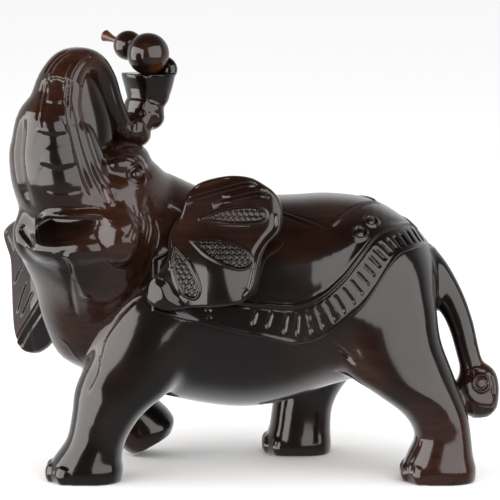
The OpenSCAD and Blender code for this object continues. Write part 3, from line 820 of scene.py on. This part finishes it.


# 1 under the blanket, 0 outside, easing over 3 degrees inside its edges
def underBlanket(points):
    x, y, z = points.T
    t = np.array(torsoStations, float)
    turn = np.degrees(np.arctan2(np.abs(y), z - np.interp(x, t[:, 0], (t[:, 1] + t[:, 2]) / 2)))
    inside = np.minimum(blanketAngles(x)[0] - turn, (blanketSetup["rear"] - x) * 1.2)
    inside = np.minimum(inside, x - frontEdge(turn) - 1)
    return np.clip((inside - 1) / 3, 0, 1)


# The front edge: x at the spine easing to x at the sides
def frontEdge(turn):
    near, far = blanketSetup["front"]
    return near + (far - near) * np.clip((turn - 24) / 40, 0, 1) ** 1.2


# Torso and legs
bodySetup = {"voxel": 1.12, "band": 9.0, "tailReach": 9.8}
bodyLines = [
    stroke("step", 3.0, 1.3, (-62, 114), (-70, 107), (-77, 99), (-84, 88), (-88, 76), (-90, 66), (-96, 54),
           fade=8, taper=8),
    stroke("ridge", 0.8, 1.0, (-114, 83), (-109, 80), (-104, 72), (-99, 67), (-93, 66)),
    stroke("groove", 1.6, 2.0, (44, 90), (50, 83), (57, 77), (63, 71), taper=8),
    stroke("groove", 1.2, 1.6, (50, 66), (56, 60), (62, 55), taper=4),
    stroke("groove", 0.8, 1.0, (-118, 9), (-112, 12), (-105, 10.5), taper=2),
    stroke("groove", 0.8, 1.0, (93, 12.5), (97, 13), (102, 11), taper=2),
]
# toenails: foot centre x, y, z, reach forward, half width
nailRows = [(-98, -41, 5, 21.5, 19.5), (112.5, -41, 5, 21, 19), (29.5, 40, 5, 20, 18.5)]


# Body: barrel, legs and tail in one field with toenails, lowered under the blanket, cut into torso and four
# legs
def buildBody():
    region = makeRegion((-124, -68, -2), (136, 68, 172), bodySetup["voxel"], bodySetup["band"])
    field = bodyField(region, legStations, tail=True)
    bare = field.copy()
    for x, y, z, reach, width in nailRows:
        for turn in (-0.95, -0.32, 0.32, 0.95):
            place = (x - reach * math.cos(turn), y + width * math.sin(turn), z)
            addLump(region, field, place, (3.2, 4.6, 6.0), 1.4,
                    ((math.cos(turn), -math.sin(turn), 0), (math.sin(turn), math.cos(turn), 0), up))
    points, quads = fieldSurface(region, field)
    lift = carveLines(points, bodyLines) - blanketSetup["sink"] * underBlanket(points)
    points = points + pointNormals(points, quads) * lift[:, None]
    points[:, 2] = np.maximum(points[:, 2], 0.0)
    skin = skinForCutting(points, quads)
    line, way = tailPath()
    glue = tailJoint * perStation
    tailCut = (line[glue, :3], -way[glue], bodySetup["tailReach"])
    torsoPlanes = [(neckPoint, -neckNormal), (up * jointHeight, up), tailCut]
    cutPiece("torsoCarving", skin, torsoPlanes, darkMaterial, "torso")
    lower = skin.copy()
    bmesh.ops.bisect_plane(lower, geom=lower.verts[:] + lower.edges[:] + lower.faces[:],
                           plane_co=up * (jointHeight + 3), plane_no=-up, clear_inner=True)
    for name, rows in legStations.items():
        x, y = rows[4][0], rows[4][4]
        label = "leg" + "".join(word.title() for word in name.split("_")[1:])
        near = onlyNear(lower, np.array([x, y, jointHeight]))
        cutPiece(label, near, [(up * jointHeight, -up)], darkMaterial, name)
    skin.free()
    lower.free()
    return region, bare


# The shell of a bmesh nearest to a place
def onlyNear(whole, place):
    part = whole.copy()
    x, y, z = place
    start = min(part.verts, key=lambda v: (v.co.x - x) ** 2 + (v.co.y - y) ** 2 + (v.co.z - z) ** 2)
    seen, queue = {start}, [start]
    while queue:
        for e in queue.pop().link_edges:
            for w in e.verts:
                if w not in seen:
                    seen.add(w)
                    queue.append(w)
    bmesh.ops.delete(part, geom=[v for v in part.verts if v not in seen], context="VERTS")
    return part


bodyRegion, bodyDistance = buildBody()

# Outermost crossing of a field along rays: the last sample inside, moved on by linear interpolation
def castOnField(region, field, start, way, reach, steps=64):
    t = np.linspace(reach[0], reach[1], steps)
    place = start[..., None, :] + way[..., None, :] * t[:, None]
    q = place / region["voxel"] - region["first"]
    i = np.clip(np.floor(q).astype(int), 0, np.array(field.shape) - 2)
    f = np.clip(q - i, 0, 1)
    value = 0.0
    for corner in range(8):
        o = np.array([corner >> 2 & 1, corner >> 1 & 1, corner & 1])
        share = np.prod(np.where(o, f, 1 - f), axis=-1)
        value = value + share * field[i[..., 0] + o[0], i[..., 1] + o[1], i[..., 2] + o[2]]
    inside = value < 0
    last = steps - 1 - np.argmax(inside[..., ::-1], axis=-1)
    last = np.clip(last, 0, steps - 2)
    a = np.take_along_axis(value, last[..., None], -1)[..., 0]
    b = np.take_along_axis(value, last[..., None] + 1, -1)[..., 0]
    return t[last] + (t[1] - t[0]) * np.clip(a / (a - b + 1e-9), 0, 1)


# Blanket: x runs from the front edge to the rear, v across from -1 to 1; the angle from the spine is v *
# edge(x); the height over the skin is the slab's thickness, rounded at the edges, plus border, fringe,
# seams and studs
def buildBlanket():
    s = blanketSetup
    v = np.linspace(-1, 1, s["across"])
    u = np.linspace(0, 1, s["along"])
    first = frontEdge(np.abs(v) * 95)
    x = first + u[:, None] * (s["rear"] - first)
    edge, border = blanketAngles(x)
    turn = np.abs(v) * edge
    angle = np.radians(v * edge)
    t = np.array(torsoStations, float)
    start = np.stack([x, 0 * x, np.interp(x, t[:, 0], (t[:, 1] + t[:, 2]) / 2)], -1)
    way = np.stack([0 * x, -np.sin(angle), np.cos(angle)], -1)
    radius = castOnField(bodyRegion, bodyDistance, start, way, (12.0, 76.0))
    for _ in range(2):
        padded = np.pad(radius, 1, mode="edge")
        around = padded[:-2, 1:-1] + padded[2:, 1:-1] + padded[1:-1, :-2] + padded[1:-1, 2:]
        radius = (around + 2 * radius) / 6
    toEdge = np.maximum(np.minimum(np.minimum(edge - turn, x - first), (s["rear"] - x) * 1.4), 0)
    past = turn - border
    flat = np.stack([x.ravel(), 0 * x.ravel(), turn.ravel()], 1)
    cuts = [stroke("groove", s["fringeDepth"], s["fringeWidth"], (a + 0.16 * (c - a), b + 0.16 * (d - b)),
                   (c - 0.12 * (c - a), d - 0.12 * (d - b)), taper=2.0) for a, b, c, d in fringeCuts]
    lift = carveLines(flat, cuts + blanketLines).reshape(x.shape)
    grooves = 0.8 * np.exp(-((past - 1.9) / 0.8) ** 2) + 0.4 * np.exp(-((past + 1.9) / 0.8) ** 2)
    lift += s["border"] * (np.exp(-(past / 0.9) ** 2) - grooves)
    lift -= 0.5 * np.exp(-((past + 8) / 5) ** 2)
    lift += 0.5 * np.exp(-((toEdge - 1.6) / 1.3) ** 2)
    for sx, sa in blanketStuds:
        r = np.hypot(x - sx, turn - sa) / s["stud"]
        dome = 1.3 * np.sqrt(np.clip(1 - (r / 0.6) ** 2, 0, 1)) + 1.3 * np.exp(-((r - 0.95) / 0.15) ** 2)
        dome -= 0.6 * np.exp(-((r - 0.7) / 0.1) ** 2)
        lift = np.where(r < 1.5, lift * np.clip((r - 1) / 0.5, 0, 1) + dome, lift)
    thick = np.interp(turn, *np.array(s["thick"]).T) + 1.2 * np.exp(-toEdge / 5)
    soft = 1 - edgeFall(toEdge, 1.4)
    top = start + way * (radius + s["under"] + (thick + lift - s["under"]) * soft)[..., None]
    under = start + way * (radius + s["under"] - 0.5)[..., None]
    points, quads, tris = outwardSkin(np.concatenate([top, under[:, ::-s["underSteps"]]], axis=1))
    addMesh("saddleBlanket", points, (quads, tris), darkMaterial)


# Tail with its bound tuft, a scroll carved on the tuft's near side
tailSetup = {"voxel": 0.62, "band": 6.0}
scrollAt = (138.0, 56.0)
tailLines = [
    stroke("rim", 0.9, 0.8, (143.6, 60), (145.2, 55), (145.2, 49), taper=1),
    stroke("step", 1.6, 0.7, (127, 58), (130, 48), (136, 43), (146, 41), fade=4, taper=2),
    stroke("ridge", 0.8, 1.0, (128, 61), (134, 64.5), (141, 64), taper=2),
]


# Tail: its rings and a lump for the tuft, with a scroll of a ridge at r = 4.6 and a groove at r = 3.5
def buildTail():
    region = makeRegion((98, -42, 28), (156, 12, 137), tailSetup["voxel"], tailSetup["band"])
    field = loftField(region, tailRings())
    addLump(region, field, (130.5, -22, 50), (6.5, 9.5, 9.5), 2.5)
    points, quads = fieldSurface(region, field)
    r = np.hypot(points[:, 0] - scrollAt[0], points[:, 2] - scrollAt[1])
    facing = points[:, 1] < -22
    lift = carveLines(points, tailLines)
    lift += facing * (0.9 * np.exp(-((r - 4.6) / 0.7) ** 2) - 1.0 * np.exp(-((r - 3.5) / 0.6) ** 2))
    points = points + pointNormals(points, quads) * lift[:, None]
    skin = skinForCutting(points, quads)
    line, way = tailPath()
    glue = tailJoint * perStation
    cutPiece("tailCarving", skin, [(line[glue, :3], way[glue])], darkMaterial, "tail")
    skin.free()


buildTail()

# Near ear: a slab over the barrel, with folds, a rolled rim and three stippled leaves
earSetup = {"middle": (-18.0, 146.0), "half": 3.0, "clear": 2.7, "rings": 118, "around": 640,
            "backRings": 16, "round": 2.4}
earOutline = [
    (-60.5, 116), (-59, 122.5), (-53, 127.5), (-48, 136), (-47.5, 146), (-45, 153), (-41, 160.5),
    (-37.5, 170), (-33, 176.5), (-25, 180.5), (-12, 183), (0, 182), (8, 178), (14, 173.5), (18, 167),
    (19.5, 158), (17.5, 151), (11, 144.5), (7.5, 138), (5.5, 130), (3.5, 121), (0, 114.5), (-6, 110.5),
    (-18, 108.5), (-34, 107.5), (-48, 105.5), (-56, 107.5), (-60, 111)]
earFolds = [
    stroke("rim", 1.5, 1.6, (-40, 169), (-29, 173), (-15, 177), (-2, 180), (6, 178.5), taper=6),
    stroke("ridge", 2.2, 2.6, (-16, 169.5), (-6, 172), (4, 175), (11, 173.5), taper=5),
    stroke("groove", 1.4, 1.6, (-22, 165.5), (-8, 169.5), (4, 171.5), (12, 170.5), taper=6),
    stroke("rim", 1.2, 1.3, (16.5, 162), (16, 153), (10, 146), (5.5, 139), (3, 130), (0.5, 120), (-4, 113.5),
           taper=5),
    stroke("step", -2.0, 1.5, (-56, 124), (-50, 121), (-46, 114), (-38, 109.5), fade=5, taper=5),
]
leafOutlines = [
    [(-29, 158), (-17, 156.2), (-6, 155.5), (4, 156), (9, 158.5),
     (9, 162.5), (3, 165), (-6, 165), (-15, 163.5), (-22, 161)],
    [(-34, 146), (-26, 147), (-18, 146.5), (-9, 144.5), (-2, 141),
     (1.5, 136.5), (0, 132), (-7, 130.5), (-17, 134), (-27, 139.5)],
    [(-44, 143), (-45.5, 136), (-44.5, 128), (-42, 120.5), (-38, 115),
     (-32, 113.5), (-29.5, 118), (-30.5, 124), (-34, 131), (-38, 136.5)]]
leafSetup = {"sunk": 0.55, "rim": 0.85, "rimWidth": 0.7, "pitch": 3.3, "ring": 0.8, "ringWidth": 0.34,
             "ringHeight": 0.75}


# Half width of the barrel at (x, z): the superellipse section, rounded off towards a least value
def barrelHalf(x, z, least):
    t = np.array(torsoStations, float)
    top, bottom, wide = (np.interp(x, t[:, 0], t[:, c]) for c in (1, 2, 3))
    k = np.minimum(np.abs((z - (top + bottom) / 2) / ((top - bottom) / 2)), 1)
    return ((wide * (1 - k ** 2.25) ** (1 / 2.25)) ** 6 + least ** 6) ** (1 / 6)


# Distance from flat points to a closed outline, and whether each is inside by counting crossings
def outlineDistance(px, pz, outline):
    loop = evenCurve(list(outline) + [outline[0]], 0.5)[0]
    gap = np.full(len(px), 99.0)
    for part in np.array_split(np.arange(len(px)), max(len(px) // 20000, 1)):
        square = (px[part, None] - loop[None, :, 0]) ** 2 + (pz[part, None] - loop[None, :, 1]) ** 2
        gap[part] = np.sqrt(square.min(1))
    inside = np.zeros(len(px), bool)
    for (x0, z0), (x1, z1) in zip(loop[:-1], loop[1:]):
        if z0 != z1:
            inside ^= ((z0 > pz) != (z1 > pz)) & (px < (x1 - x0) * (pz - z0) / (z1 - z0) + x0)
    return gap, inside


# Leaf: the inside sunk, a raised rim on the outline, and little rings on a staggered lattice within it
def leafRelief(px, pz):
    lift, s = np.zeros(len(px)), leafSetup
    for outline in leafOutlines:
        o = np.array(outline)
        near = np.nonzero((px > o[:, 0].min() - 3) & (px < o[:, 0].max() + 3)
                          & (pz > o[:, 1].min() - 3) & (pz < o[:, 1].max() + 3))[0]
        x, z = px[near], pz[near]
        gap, inside = outlineDistance(x, z, outline)
        lift[near] += s["rim"] * np.exp(-(gap / s["rimWidth"]) ** 2)
        lift[near] -= inside * s["sunk"] * (1 - np.exp(-(gap / 0.9) ** 2))
        row = np.round((z - o[0, 1]) / (s["pitch"] * 0.86))
        off = s["pitch"] * 0.5 * (row % 2)
        cx = np.round((x - o[0, 0] - off) / s["pitch"]) * s["pitch"] + off + o[0, 0]
        cz = row * s["pitch"] * 0.86 + o[0, 1]
        r = np.hypot(x - cx, z - cz)
        clear = np.clip((gap - 1.3) / 0.5, 0, 1) * inside
        lift[near] += clear * s["ringHeight"] * np.exp(-((r - s["ring"]) / s["ringWidth"]) ** 2)
    return lift


# Polar grid: place = middle + r * (outline - middle), the outline read by its angle about the middle
def polarPlate(middle, outline, rings, around):
    loop = alongStations(list(outline[-2:]) + list(outline) + list(outline[:3]), 16)
    way = np.arctan2(loop[:, 1] - middle[1], loop[:, 0] - middle[0])
    reach = np.hypot(loop[:, 0] - middle[0], loop[:, 1] - middle[1])
    angle = np.linspace(-np.pi, np.pi, around, endpoint=False)
    order = np.argsort(way)
    far = np.interp(angle, way[order], reach[order], period=2 * np.pi)
    far = np.convolve(np.pad(far, 2, mode="wrap"), np.ones(5) / 5, "valid")
    r = np.sin(np.linspace(0, np.pi / 2, rings)) * 0.35 + np.linspace(0, 1, rings) * 0.65
    r[0] = 0.004
    x = middle[0] + r[:, None] * (far * np.cos(angle))
    z = middle[1] + r[:, None] * (far * np.sin(angle))
    return x, z, (1 - r)[:, None] * far


# Fall of a rounded edge at distance e inside it: 1 - sqrt(1 - (1 - e / round)^2), 0 further in
def edgeFall(e, radius):
    return 1 - np.sqrt(1 - np.clip(1 - e / radius, 0, 1) ** 2)


# A plate closed all round: the front rings run out to the edge and the back rings run in again
def plateSolid(front, back):
    return outwardSkin(np.concatenate([front, back[::-1]]))


# Near ear: y = -(barrel's half width + clear + half), its front out by belly, lobes and relief, both faces
# rounded off
def buildNearEar():
    s = earSetup
    x, z, e = polarPlate(s["middle"], earOutline, s["rings"], s["around"])
    mid = -(barrelHalf(x, z, 46) + s["clear"] + s["half"])
    flat = np.stack([x.ravel(), mid.ravel(), z.ravel()], 1)
    lift = (carveLines(flat, earFolds) + leafRelief(flat[:, 0], flat[:, 2])).reshape(x.shape)
    belly = 3.2 * np.exp(-((x + 17) / 15) ** 2) * np.exp(-((z - 122) / 24) ** 2)      # bows out low down
    lobe = 2.0 * np.exp(-((x + 52) / 8) ** 2 - ((z - 114) / 9) ** 2)                  # front lobe turns out
    wave = 1.6 * np.exp(-((x - 12) / 9) ** 2 - ((z - 166) / 12) ** 2)                 # rear lobe turns out
    fade = 1 - edgeFall(e, 1.2)
    fall = s["half"] * edgeFall(e, s["round"])
    out = belly + lobe + wave + lift * fade
    front = np.stack([x, mid - s["half"] + fall - out, z], -1)
    x2, z2, e2 = polarPlate(s["middle"], earOutline, s["backRings"], s["around"])
    mid2 = -(barrelHalf(x2, z2, 46) + s["clear"] + s["half"])
    back = np.stack([x2, mid2 + 2.8 * (1 - edgeFall(e2, s["round"])), z2], -1)
    back[-1] = front[-1]
    points, quads, tris = plateSolid(front, back[:-1])
    addMesh("nearEar", points, (quads, tris), darkMaterial, "ear_left")


buildNearEar()
buildBlanket()

# Far ear: a plate standing off the head's far side, folded along a slanting crease
farEarSetup = {"middle": (-72.0, 107.0), "half": 3.0, "rings": 60, "around": 420, "backRings": 40,
               "round": 2.4, "fold": 0.55}
farEarOutline = [
    (-47, 142), (-57, 149), (-68, 149.5), (-80, 147.5), (-88, 145), (-94, 142), (-99.5, 137.5),
    (-98, 132), (-92.5, 122), (-91.5, 104), (-90.5, 90), (-88.5, 76), (-84, 68), (-80, 64), (-72, 63.5),
    (-64, 67), (-57, 73), (-50, 80), (-46, 92), (-45, 118)]
# u of the plate against v; the crease, and the cut lines, as (v, z)
farEarPlace = [(-99, -17), (-91, -16), (-80, -14), (-68, -12), (-57, -11), (-45, -10)]
farEarCrease = [(-48.8, 107), (-61.5, 92), (-76.4, 77), (-84, 68)]
farEarLines = [
    stroke("groove", 0.8, 0.7, (-75.7, 119), (-82, 112), (-87, 105)),
    stroke("groove", 0.8, 0.7, (-71.4, 109), (-78, 99), (-84, 87)),
    stroke("groove", 0.8, 0.7, (-65, 104), (-72, 95), (-79, 86)),
    stroke("rim", 1.4, 1.1, *farEarCrease),
    stroke("groove", 0.8, 0.7, (-93, 135), (-89, 131), (-86, 126)),
    stroke("groove", 0.7, 0.6, (-96, 137), (-93, 139), taper=1)]


# Far ear: u from its place table, bent back by fold * mm below the crease, half thick either way
def buildFarEar():
    s = farEarSetup

    def plate(rings, face):
        v, z, e = polarPlate(s["middle"], farEarOutline, rings, s["around"])
        place = np.array(farEarPlace, float)
        u = np.interp(v, place[:, 0], place[:, 1])
        crease = np.array(farEarCrease)
        below = np.maximum(np.interp(v, crease[::-1, 0], crease[::-1, 1]) - z, 0)      # mm below the crease
        u = u - s["fold"] * below * np.clip((v + 92) / 20, 0, 1) * 0.5
        thick = s["half"] * (1 - edgeFall(e, s["round"]))
        lift = 0
        if face > 0:
            flat = np.stack([v.ravel(), 0 * v.ravel(), z.ravel()], 1)
            lift = carveLines(flat, farEarLines).reshape(v.shape) * (1 - edgeFall(e, 1.2))
        return inHead(u + face * (thick + lift), v, z)

    front, back = plate(s["rings"], 1), plate(s["backRings"], -1)
    points, quads, tris = plateSolid(front, back[:-1])
    addMesh("farEar", points, (quads, tris), darkMaterial, "ear_right")


buildFarEar()

# Eyes: polished balls set in the carved sockets
eyeSetup = {"radius": 3.6, "out": 1.9, "rows": 28, "around": 48}


# Sphere: centre + radius * (cos a cos w, cos a sin w, sin a)
def ballGrid(centre, radius, rows, around):
    a = np.linspace(-np.pi / 2, np.pi / 2, rows)[1:-1, None]
    w = np.linspace(0, 2 * np.pi, around, endpoint=False)
    return centre + radius * np.stack([np.cos(a) * np.cos(w), np.cos(a) * np.sin(w), np.sin(a) + 0 * w], -1)


# A closed grid of rings made a piece, its end points pushed out by a thousandth
def addSolid(name, grid, material, node, body):
    points, quads, tris = outwardSkin(grid)
    points[-2:] += (points[-2:] - grid.reshape(-1, 3).mean(0)) * 0.001
    return addMesh(name, points, (quads, tris), material, node, body)


for label, node, side in (("nearEye", "eye_left", 1), ("farEye", "eye_right", -1)):
    place = eyeAt(side) + eyeFacing(side) * eyeSetup["out"]
    ball = ballGrid(place, eyeSetup["radius"], eyeSetup["rows"], eyeSetup["around"])
    addSolid(label, ball, eyeMaterial, node, "figure")

# The wood left standing inside the trunk's loop: z, u, half size along u, half size across
loopStations = [[197, 0, 12, 9], [205, 1, 16, 9.5], [216, 3, 17, 9.5], [228, 7, 16, 9], [238, 10, 12.5, 8],
                [244, 12, 8, 6]]
s = alongStations(loopStations, 8)
core = superRings(inHead(s[:, 1], 0, s[:, 0]), forward, left, s[:, 2], s[:, 3])
addSolid("loopCore", core, darkMaterial, None, "figure")

# Gourd: two balls and a flared stem turned about one axis
gourdSetup = {"ball": 12.6, "small": 9.0, "smallAt": 18.18, "waist": 4.9, "stem": 1.8, "flare": 3.6,
              "end": 39.2, "axis": (-0.68, 0.69, 0.23), "around": 96, "steps": 220, "bore": 2.05,
              "boreTop": 7.5}


# Turned profile: radius = smooth greatest of the two balls' circles, the waist and the flaring stem
def gourdProfile(s):
    t = -s["ball"] * np.cos(np.linspace(0, np.pi * 0.5, 50))
    t = np.concatenate([t, np.linspace(0, s["end"], s["steps"])[1:]])
    ball = np.sqrt(np.maximum(s["ball"] ** 2 - t ** 2, 0))
    small = np.sqrt(np.maximum(s["small"] ** 2 - (t - s["smallAt"]) ** 2, 0))
    waist = s["waist"] * ((t > 0) & (t < s["smallAt"]))
    stemShape = s["stem"] + (s["flare"] - s["stem"]) * np.clip((t - s["end"] + 9) / 9, 0, 1) ** 1.6
    stem = np.where(t > s["smallAt"], stemShape, 0)
    r = np.maximum(np.maximum(ball, small), np.maximum(waist, stem))
    soft = np.convolve(np.pad(r, 3, mode="edge"), np.ones(7) / 7, "valid")
    return t, np.where((t > 6) & (t < s["end"] - 1), soft, r)


# Gourd: its profile turned about the axis, with the peg's hole, a cylinder from below, bored out
def buildGourd():
    s = gourdSetup
    t, r = gourdProfile(s)
    axis = unit(np.array(s["axis"]))
    sideA = unit(np.cross(axis, up))
    sideB = np.cross(axis, sideA)
    r[0] = 0.02
    end = np.array([[t[-1] + 0.5, r[-1] * 0.8], [t[-1] + 0.2, r[-1] * 0.3]])      # the end is a shallow dish
    t, r = np.concatenate([t, end[:, 0]]), np.concatenate([r, end[:, 1]])
    rings = superRings(ballAt + axis * t[:, None], sideA, sideB, r, r, 2.0, s["around"])
    gourd = addSolid("gourdTurning", rings, gourdMaterial, "gourd", "gourd")
    bore = bpy.data.meshes.new("bore")
    w = np.linspace(0, 2 * np.pi, 40, endpoint=False)
    ring = np.stack([np.cos(w), np.sin(w), 0 * w], 1) * s["bore"]
    foot, top = ballAt - up * (ballRadius + 4), ballAt - up * (ballRadius - s["boreTop"])
    points, quads, tris = outwardSkin(np.stack([ring + foot, ring + top]))
    bore.from_pydata(((points + centring) / 1000).tolist(), [], quads.tolist() + tris.tolist())
    cutter = bpy.data.objects.new("bore", bore)
    bpy.context.scene.collection.objects.link(cutter)
    cut = gourd.modifiers.new("pegHole", "BOOLEAN")
    cut.operation, cut.object, cut.solver = "DIFFERENCE", cutter, "EXACT"
    bpy.context.view_layer.update()
    drilled = bpy.data.meshes.new_from_object(gourd.evaluated_get(bpy.context.evaluated_depsgraph_get()))
    gourd.modifiers.clear()
    gourd.data = drilled
    drilled.polygons.foreach_set("use_smooth", np.ones(len(drilled.polygons), bool))
    drilled.set_sharp_from_angle(angle=math.radians(40))
    bpy.data.objects.remove(cutter)


buildGourd()
print("eyes, ears and gourd ready")

# Camera, floor and light
cameraSetup = {"distance": 1.70, "elevation": 8.0, "aim": (0.0018, 0.0091, 0.132), "view": 0.302}


# Camera place = aim + distance * (0, -cos e, sin e), looking at the aim
def makeCamera(setup):
    e = math.radians(setup["elevation"])
    data = bpy.data.cameras.new("camera")
    data.sensor_width = 36.0
    data.lens = 36.0 * setup["distance"] / setup["view"]
    data.clip_end = 40.0
    camera = bpy.data.objects.new("camera", data)
    camera.location = np.array(setup["aim"]) + setup["distance"] * np.array([0.0, -math.cos(e), math.sin(e)])
    camera.rotation_euler = (math.pi / 2 - e, 0.0, 0.0)
    bpy.context.scene.collection.objects.link(camera)
    bpy.context.scene.camera = camera


# Softboxes: azimuth is measured from the camera's side, positive to the right; radiance in scene units
softBoxes = [
    {"name": "leftBox", "azimuth": -66, "elevation": 6, "distance": 1.5, "width": 2.5, "height": 1.5,
     "radiance": 4.6, "tint": (1.0, 0.95, 0.92)},
    {"name": "rightBox", "azimuth": 42, "elevation": 18, "distance": 1.5, "width": 2.3, "height": 1.7,
     "radiance": 2.9, "tint": (1.0, 0.98, 0.96)},
]
glowSetup = {"strength": 3.3, "spread": 140}
# each as the direction's from and to, then the light's from and to
worldSetup = {"behind": (-0.1, 0.5, 0.045, 0.65), "below": (0.0, -0.5, 0.0, 0.30),
              "above": (0.25, 0.8, 1.0, 0.15)}


# Softbox: an area light at way * distance facing the object, power = radiance * pi * width * height
def makeSoftBox(setup):
    a, e = math.radians(setup["azimuth"]), math.radians(setup["elevation"])
    way = np.array([math.sin(a) * math.cos(e), -math.cos(a) * math.cos(e), math.sin(e)])
    light = bpy.data.lights.new(setup["name"], "AREA")
    light.shape, light.size, light.size_y = "RECTANGLE", setup["width"], setup["height"]
    light.energy = setup["radiance"] * math.pi * setup["width"] * setup["height"]
    light.color = setup["tint"]
    box = bpy.data.objects.new(setup["name"], light)
    box.location = way * setup["distance"] + np.array([0, 0, 0.13])
    box.rotation_euler = (math.pi / 2 - e, 0, a)
    box.visible_camera = False
    bpy.context.scene.collection.objects.link(box)


# World: seen white, but lighting by behind(y) * above(z) + below(z), each a smooth step
def makeWorld():
    world = bpy.data.worlds.new("studio")
    world.use_nodes = True
    tree = world.node_tree
    tree.nodes.clear()
    out = addNode(tree, "ShaderNodeOutputWorld")
    rays = addNode(tree, "ShaderNodeLightPath")
    seen = addNode(tree, "ShaderNodeBackground", Color=(1, 1, 1, 1), Strength=1.0)
    place = addNode(tree, "ShaderNodeTexCoord")
    apart = addNode(tree, "ShaderNodeSeparateXYZ", [("Vector", place.outputs["Generated"])])
    ramp = {}
    for key, axis in (("behind", "Y"), ("below", "Z"), ("above", "Z")):
        step = addNode(tree, "ShaderNodeMapRange", [("Value", apart.outputs[axis])],
                       interpolation_type="SMOOTHSTEP")
        for label, value in zip(("From Min", "From Max", "To Min", "To Max"), worldSetup[key]):
            step.inputs[label].default_value = value
        ramp[key] = step.outputs["Result"]
    dimmed = addNode(tree, "ShaderNodeMath", [(0, ramp["behind"]), (1, ramp["above"])], operation="MULTIPLY")
    total = addNode(tree, "ShaderNodeMath", [(0, dimmed.outputs[0]), (1, ramp["below"])], operation="ADD")
    around = addNode(tree, "ShaderNodeBackground", [("Strength", total.outputs[0])], Color=(1, 1, 1, 1))
    mix = addNode(tree, "ShaderNodeMixShader",
                  [("Fac", rays.outputs["Is Camera Ray"]), (1, around.outputs[0]), (2, seen.outputs[0])])
    tree.links.new(mix.outputs[0], out.inputs["Surface"])
    bpy.context.scene.world = world


# Floor: a pale matt square just under the feet, not mirrored in the lacquer
def makeFloor():
    half, z = 6.0, -0.0002
    mesh = bpy.data.meshes.new("floor")
    corners = [(-half, -half, z), (half, -half, z), (half, half, z), (-half, half, z)]
    mesh.from_pydata(corners, [], [(0, 1, 2, 3)])
    material = bpy.data.materials.new("paleFloor")
    material.use_nodes = True
    shader = material.node_tree.nodes["Principled BSDF"]
    shader.inputs["Base Color"].default_value = (0.8, 0.8, 0.8, 1)
    shader.inputs["Roughness"].default_value = 0.9
    shader.inputs["Specular IOR Level"].default_value = 0.0
    mesh.materials.append(material)
    floor = bpy.data.objects.new("floor", mesh)
    floor.visible_glossy = False
    bpy.context.scene.collection.objects.link(floor)


# An even overhead glow that only whitens the floor and leaves soft shadows under the feet
def makeGlow():
    light = bpy.data.lights.new("overheadGlow", "SUN")
    light.energy, light.angle = glowSetup["strength"], math.radians(glowSetup["spread"])
    glow = bpy.data.objects.new("overheadGlow", light)
    glow.location = (0, 0, 2)
    glow.visible_glossy = False
    glow.visible_camera = False
    bpy.context.scene.collection.objects.link(glow)


bpy.context.scene.view_settings.view_transform = "Standard"
makeWorld()
makeFloor()
makeGlow()
for setup in softBoxes:
    makeSoftBox(setup)
makeCamera(cameraSetup)
print("camera and light ready")
